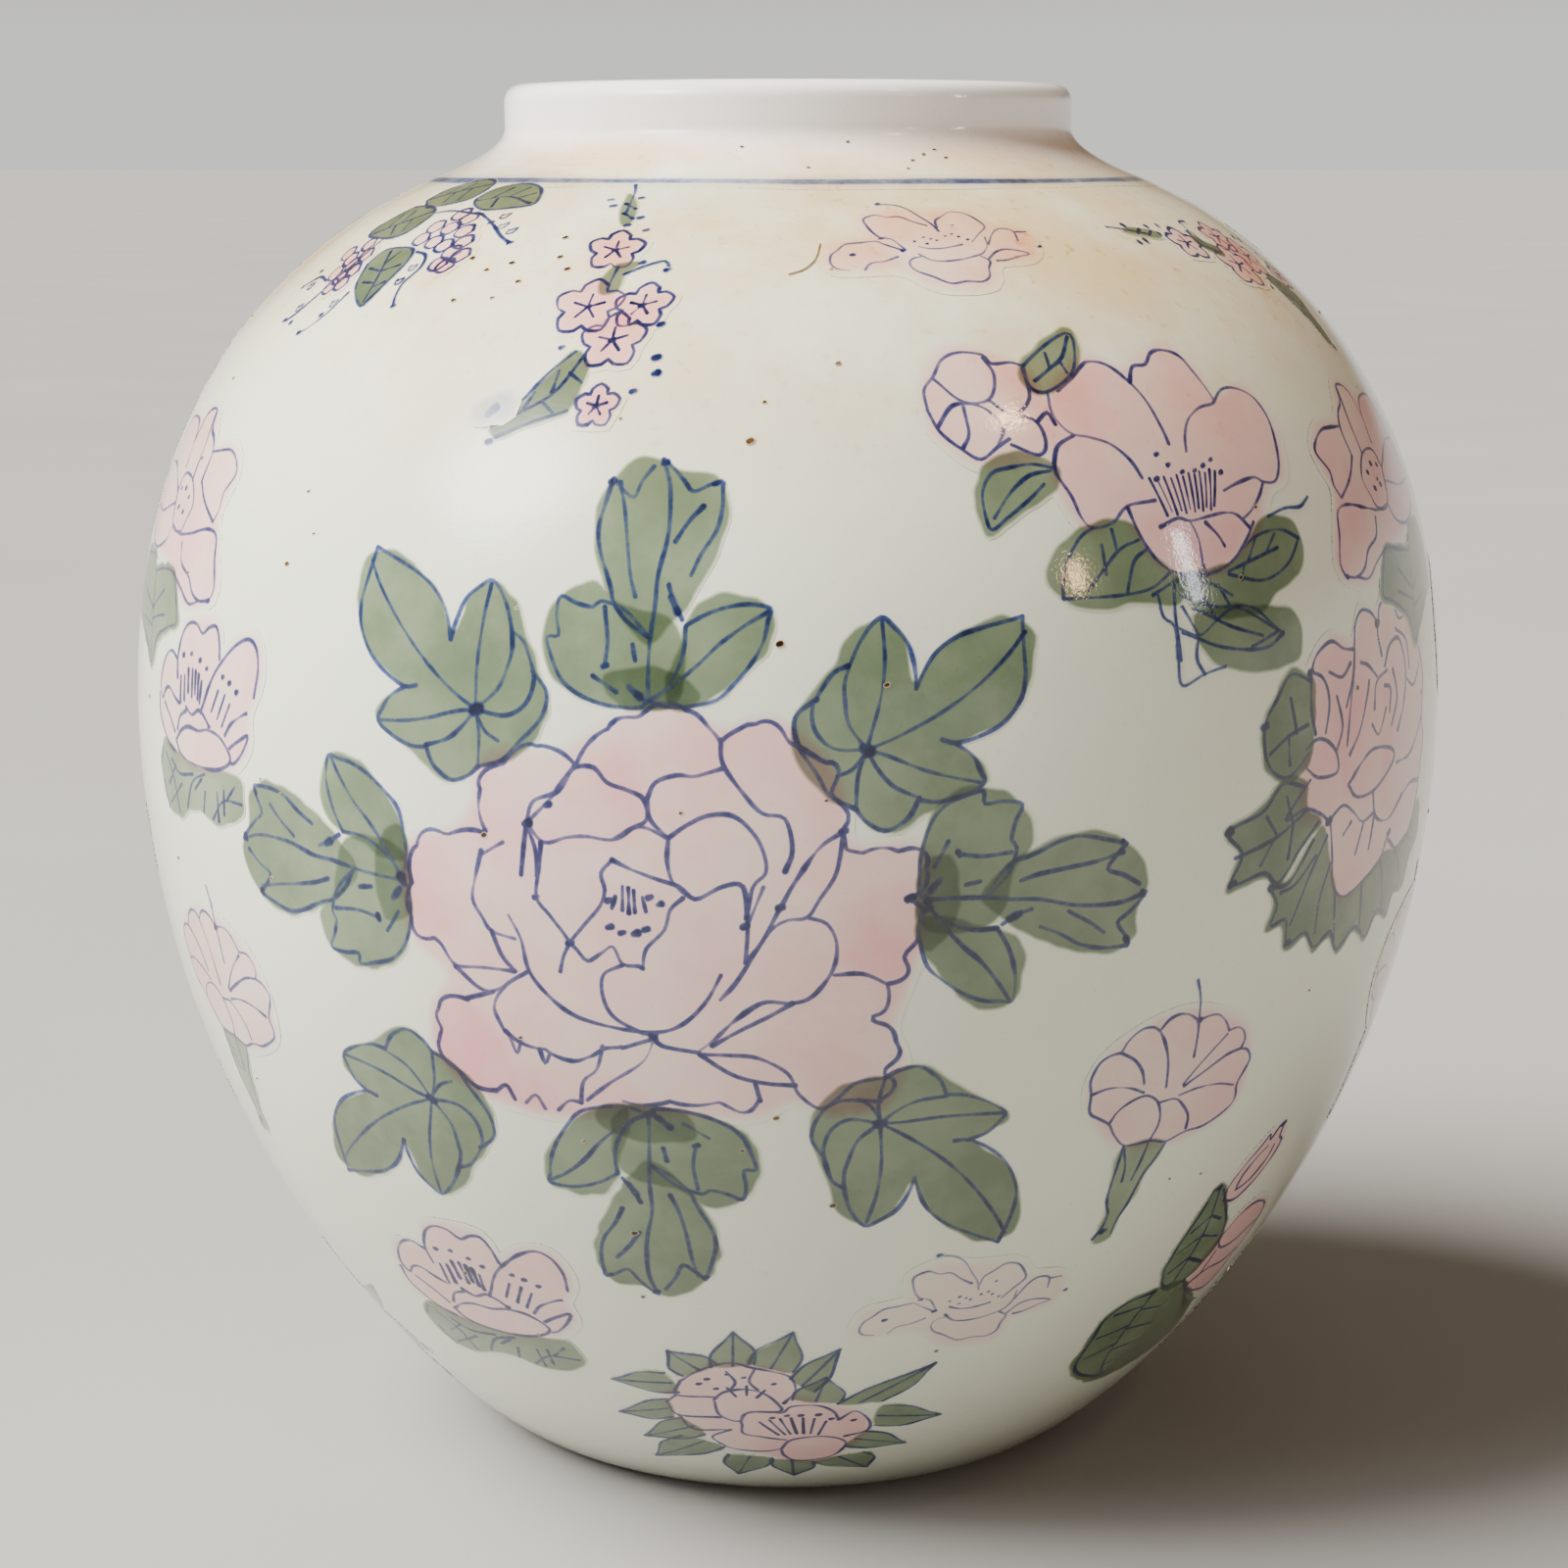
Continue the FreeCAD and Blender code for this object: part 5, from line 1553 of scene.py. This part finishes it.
def area_light(name, place, target, size, power, colour):
    """Soft rectangular light."""
    data = bpy.data.lights.new(name, "AREA")
    data.shape = "RECTANGLE"
    data.size, data.size_y = size
    data.energy = power
    data.color = colour
    light = link_new(name, data)
    aim(light, place, target)
    return light


def feather(light):
    """Lets a light fade out from its middle to its rim, as cloth over a frame does."""
    light.data.use_nodes = True
    tree = light.data.node_tree
    offset = node(tree, "ShaderNodeVectorMath", operation="DISTANCE")
    tree.links.new(node(tree, "ShaderNodeNewGeometry").outputs["Parametric"], offset.inputs[0])
    offset.inputs[1].default_value = (0.5, 0.5, 0.0)
    fade = remap(tree, offset.outputs["Value"], 0.5, 0.08)
    tree.links.new(fade, tree.nodes["Emission"].inputs["Strength"])


def daylight():
    """Sky behind a very wide diffuser: even light from one side that shows no image in the glaze."""
    data = bpy.data.lights.new("daylight", "SUN")
    data.energy = DAYLIGHT_STRENGTH
    data.angle = math.radians(DAYLIGHT_WIDTH)
    data.color = DAYLIGHT_COLOUR
    light = link_new("daylight", data)
    light.visible_glossy = False
    aim(light, DAYLIGHT_FROM, JAR_MIDDLE)


def wide_floor():
    """Plain square floor, wide enough for its edge to reach the horizon."""
    reach = FLOOR_REACH
    corners = [(-reach, -reach, 0), (reach, -reach, 0), (reach, reach, 0), (-reach, reach, 0)]
    mesh = bpy.data.meshes.new("floor")
    mesh.from_pydata(corners, [], [(0, 1, 2, 3)])
    mesh.materials.append(pale_floor())
    return link_new("floor", mesh)


def room_air():
    """World light: a dim warm room, brighter to the left, over a pale horizon."""
    world = bpy.data.worlds.new("studio_air")
    world.use_nodes = True
    tree = world.node_tree
    way = node(tree, "ShaderNodeSeparateXYZ")
    tree.links.new(node(tree, "ShaderNodeTexCoord").outputs["Generated"], way.inputs["Vector"])
    leftward = remap(tree, way.outputs["X"], 0.0, -0.9, 0.0, 0.3)
    air = mix_colour(tree, "MIX", leftward, ROOM_AIR, LEFT_AIR)
    low = remap(tree, way.outputs["Z"], 0.13, 0.03)
    air = mix_colour(tree, "MIX", low, air, HORIZON)
    tree.links.new(air, tree.nodes["Background"].inputs["Color"])
    bpy.context.scene.world = world


def camera():
    """The camera, where the photographer stood."""
    data = bpy.data.cameras.new("camera")
    data.lens = CAMERA_LENS
    data.sensor_width = CAMERA_SENSOR
    made = link_new("camera", data)
    made.location = CAMERA_PLACE
    made.rotation_euler = (math.radians(CAMERA_TILT), 0, 0)
    bpy.context.scene.camera = made


def studio():
    """Soft daylight from the left, small warm lamps on the right, the floor and the camera."""
    daylight()
    feather(area_light("window", WINDOW_FROM, JAR_MIDDLE, WINDOW_SIZE, WINDOW_POWER, WINDOW_COLOUR))
    for name, place, size, power, colour in SMALL_LAMPS:
        area_light(name, place, BELLY, size, power, colour)
    room_air()
    wide_floor()
    camera()


# ---------------------------------------------------------------- the whole jar


def front_motifs():
    """What the front and the edges of the photograph show: name, angle, distance, drawing, order."""
    rose, blossom, glory = faint_rose(), stamen_blossom(), morning_glory()
    return [
        ("painting_peony_front", -9.5, 146, front_spray(), 0),
        ("painting_rose_shoulder_front", 16.6, 259, rose, 1),
        ("painting_rose_low_front", 17.5, 67, placed(rose, fade=0.7), 1),
        ("painting_camellia_front", 30, 213, camellia(), 2),
        ("painting_berries_front_left", -47, 256, berry_spray(), 1),
        ("painting_branch_front", -18, 249, blossom_branch(), 1),
        ("painting_bouquet_front", -1, 40, bouquet(), 1),
        ("painting_blossom_left", -55, 168, blossom, 1),
        ("painting_blossom_low_left", -32, 64, blossom, 2),
        ("painting_glory_left", -57, 116, glory, 1),
        ("painting_glory_right", 33, 107, glory, 1),
        ("painting_chrysanthemum_right", 54, 161, chrysanthemum(), 1),
        ("painting_bud_branch_right", 47, 68, bud_branch(), 2),
        ("painting_lotus_left", -66, 202, lotus(), 2),
        ("painting_lotus_right", 63, 207, placed(lotus(), mirror=True), 3),
        ("painting_spray_right", 60, 256, placed(blossom_branch(), turn=62, scale=0.9), 1),
        ("painting_glory_far_right", 71, 113, glory, 3),
        ("painting_bouquet_left", -73, 40, placed(bouquet(), fade=0.85), 1),
    ]


def side_motifs():
    """The two sides, which the photograph doesn't show, filled with the same stamps."""
    rose, blossom, glory = faint_rose(), stamen_blossom(), morning_glory()
    return [
        ("painting_branch_right_side", 92, 222, blossom_branch(), 1),
        ("painting_rose_right_side", 96, 262, rose, 2),
        ("painting_glory_right_side", 84, 172, placed(glory, mirror=True), 4),
        ("painting_rose_low_right_side", 92, 108, rose, 1),
        ("painting_bouquet_right_side", 82, 42, bouquet(), 3),
        ("painting_camellia_left_side", -97, 212, camellia(), 1),
        ("painting_chrysanthemum_left_side", -95, 148, placed(chrysanthemum(), mirror=True), 3),
        ("painting_bud_branch_left_side", -106, 70, placed(bud_branch(), mirror=True), 2),
        ("painting_branch_left_side", -90, 254, placed(blossom_branch(), mirror=True, scale=0.85), 3),
        ("painting_rose_left_side", -116, 260, placed(rose, mirror=True), 4),
        ("painting_rose_low_left_side", -84, 92, placed(rose, mirror=True), 4),
        ("painting_glory_left_side", -122, 118, placed(glory, mirror=True), 1),
        ("painting_blossom_left_side", -121, 170, placed(blossom, mirror=True), 4),
    ]


def back_motifs():
    """The back, which the photograph doesn't show: the front's stamps again, mirrored."""
    rose, blossom, glory = faint_rose(), stamen_blossom(), morning_glory()
    return [
        ("painting_peony_back", 172, 146, placed(front_spray(), mirror=True), 0),
        ("painting_rose_shoulder_back", 147, 259, placed(rose, mirror=True), 1),
        ("painting_rose_low_back", 145, 66, placed(rose, mirror=True), 1),
        ("painting_camellia_back", 131, 213, placed(camellia(), mirror=True), 2),
        ("painting_berries_back", -151, 256, placed(berry_spray(), mirror=True), 1),
        ("painting_branch_back", 180, 249, placed(blossom_branch(), mirror=True), 1),
        ("painting_bouquet_back", 163, 40, placed(bouquet(), mirror=True), 1),
        ("painting_blossom_back", -142, 168, placed(blossom, mirror=True), 1),
        ("painting_blossom_low_back", -165, 64, placed(blossom, mirror=True), 2),
        ("painting_glory_back", -142, 114, placed(glory, mirror=True), 1),
        ("painting_glory_low_back", 129, 107, placed(glory, mirror=True), 1),
        ("painting_chrysanthemum_back", 110, 161, placed(chrysanthemum(), mirror=True), 1),
        ("painting_bud_branch_back", 116, 68, placed(bud_branch(), mirror=True), 2),
        ("painting_lotus_back", -133, 210, placed(lotus(), mirror=True), 3),
        ("painting_bouquet_low_back", -132, 42, bouquet(), 4),
    ]


def ripples(theta, base, waves, phases):
    """A value that wavers round the jar about its base."""
    swings = (size * np.sin(count * theta + phase) for (size, count), phase in zip(waves, phases))
    return sum(swings, base)


def neck_band(material):
    """Thin cobalt line brushed round the root of the neck on a turning wheel."""
    columns = BAND_COLUMNS
    theta = np.arange(columns) * 2 * math.pi / columns
    phases = np.random.default_rng(11).uniform(0, 2 * math.pi, 8)
    drift = ripples(theta, 0.0, BAND_DRIFT, phases[:3])
    width = ripples(theta, BAND_WIDTH, BAND_WIDTH_WAVES, phases[3:5])
    depth = ripples(theta, BAND_DEPTH, BAND_DEPTH_WAVES, phases[5:])
    along = np.stack([BAND_ALONG + drift + 0.5 * width * share for share in BAND_SHARES])
    angle = np.tile(theta, (len(BAND_SHARES), 1))
    pigment = np.zeros((len(BAND_SHARES) * columns, 4))
    pigment[:, 2] = np.concatenate([depth * share for share in BAND_LAID])
    top, normal = on_jar(angle.ravel(), along.ravel(), FILM_LIFT)
    foot, foot_normal = on_jar(angle[[0, -1]].ravel(), along[[0, -1]].ravel(), FILM_FOOT)
    points = np.concatenate((foot[:columns], top, foot[columns:]))
    normals = np.concatenate((foot_normal[:columns], normal, foot_normal[columns:]))
    bare = np.zeros((columns, 4))
    faces = [
        (row * columns + i, row * columns + (i + 1) % columns,
         (row + 1) * columns + (i + 1) % columns, (row + 1) * columns + i)
        for row in range(len(BAND_SHARES) + 1) for i in range(columns)
    ]
    piece = add_piece("neck_band", points, faces, normals, material)
    add_pigment(piece, np.concatenate((bare, pigment, bare)))


def kiln_specks(material):
    """Iron specks scattered in the glaze, in fields round the jar, with more on the shoulder."""
    for field in range(SPECK_FIELDS):
        dice = np.random.default_rng(SPECK_SEED + field)
        specks = []
        for _ in range(SPECKS_IN_FIELD):
            x, y = dice.uniform(-55, 55), dice.uniform(-110, 105)
            size = dice.uniform(0.35, 0.8)
            specks += dots(size, dice.uniform(0.5, 1.3), (x, y))
        if field == 0:
            specks += dots(0.9, 1.4, (-25, -75)) + dots(0.8, 1.2, (7, -68)) + dots(1.0, 1.0, (-6, 60))
        degrees = 360 // SPECK_FIELDS * field
        paint(f"kiln_specks_{field}", degrees, SPECK_MIDDLE, {"iron": specks}, material, 6)
    neck = dots(0.5, 1.2, (22, 0), (24, 2), (26, 3.4), (21, -3), (28, 1), (-8, 4), (3, -2), (10, 6))
    paint("kiln_specks_neck", 0, 288, {"iron": neck}, material, 6)
    shoulder = dots(0.7, 1.2, (-1, 0), (3, 2), (7, -2), (-6, 3), (11, 4), (4, -6), (-4, -7), (9, 9),
                    (14, 1))
    paint("kiln_specks_shoulder", -33, 252, {"iron": shoulder}, material, 6)


def stray_marks(material):
    """A hair fired into the glaze, and a thumb's smudge of cobalt."""
    hair = lines(0.35, 0.8, [(-3, -4), (-.5, -3), (1.5, -.5), (2.4, 3.4)])
    paint("fired_hair", 2, 256, {"iron": hair}, material, 5)
    smudge = lines(7.0, 0.16, [(-1.5, 0), (1.5, 1)]) + lines(1.6, 0.35, [(-.5, -.5), (.5, .8)])
    paint("cobalt_smudge", -26, 224, {"lines": smudge}, material, 5)


def paint_jar(material):
    """Lays on every motif, the neck's line, the specks and the stray marks."""
    for name, degrees, along, motif, order in front_motifs() + side_motifs() + back_motifs():
        paint(name, degrees, along, motif, material, order)
    neck_band(material)
    kiln_specks(material)
    stray_marks(material)


finish_cad_nodes()
glaze = painted_glaze()
glazed_surface(glaze)
paint_jar(glaze)
studio()
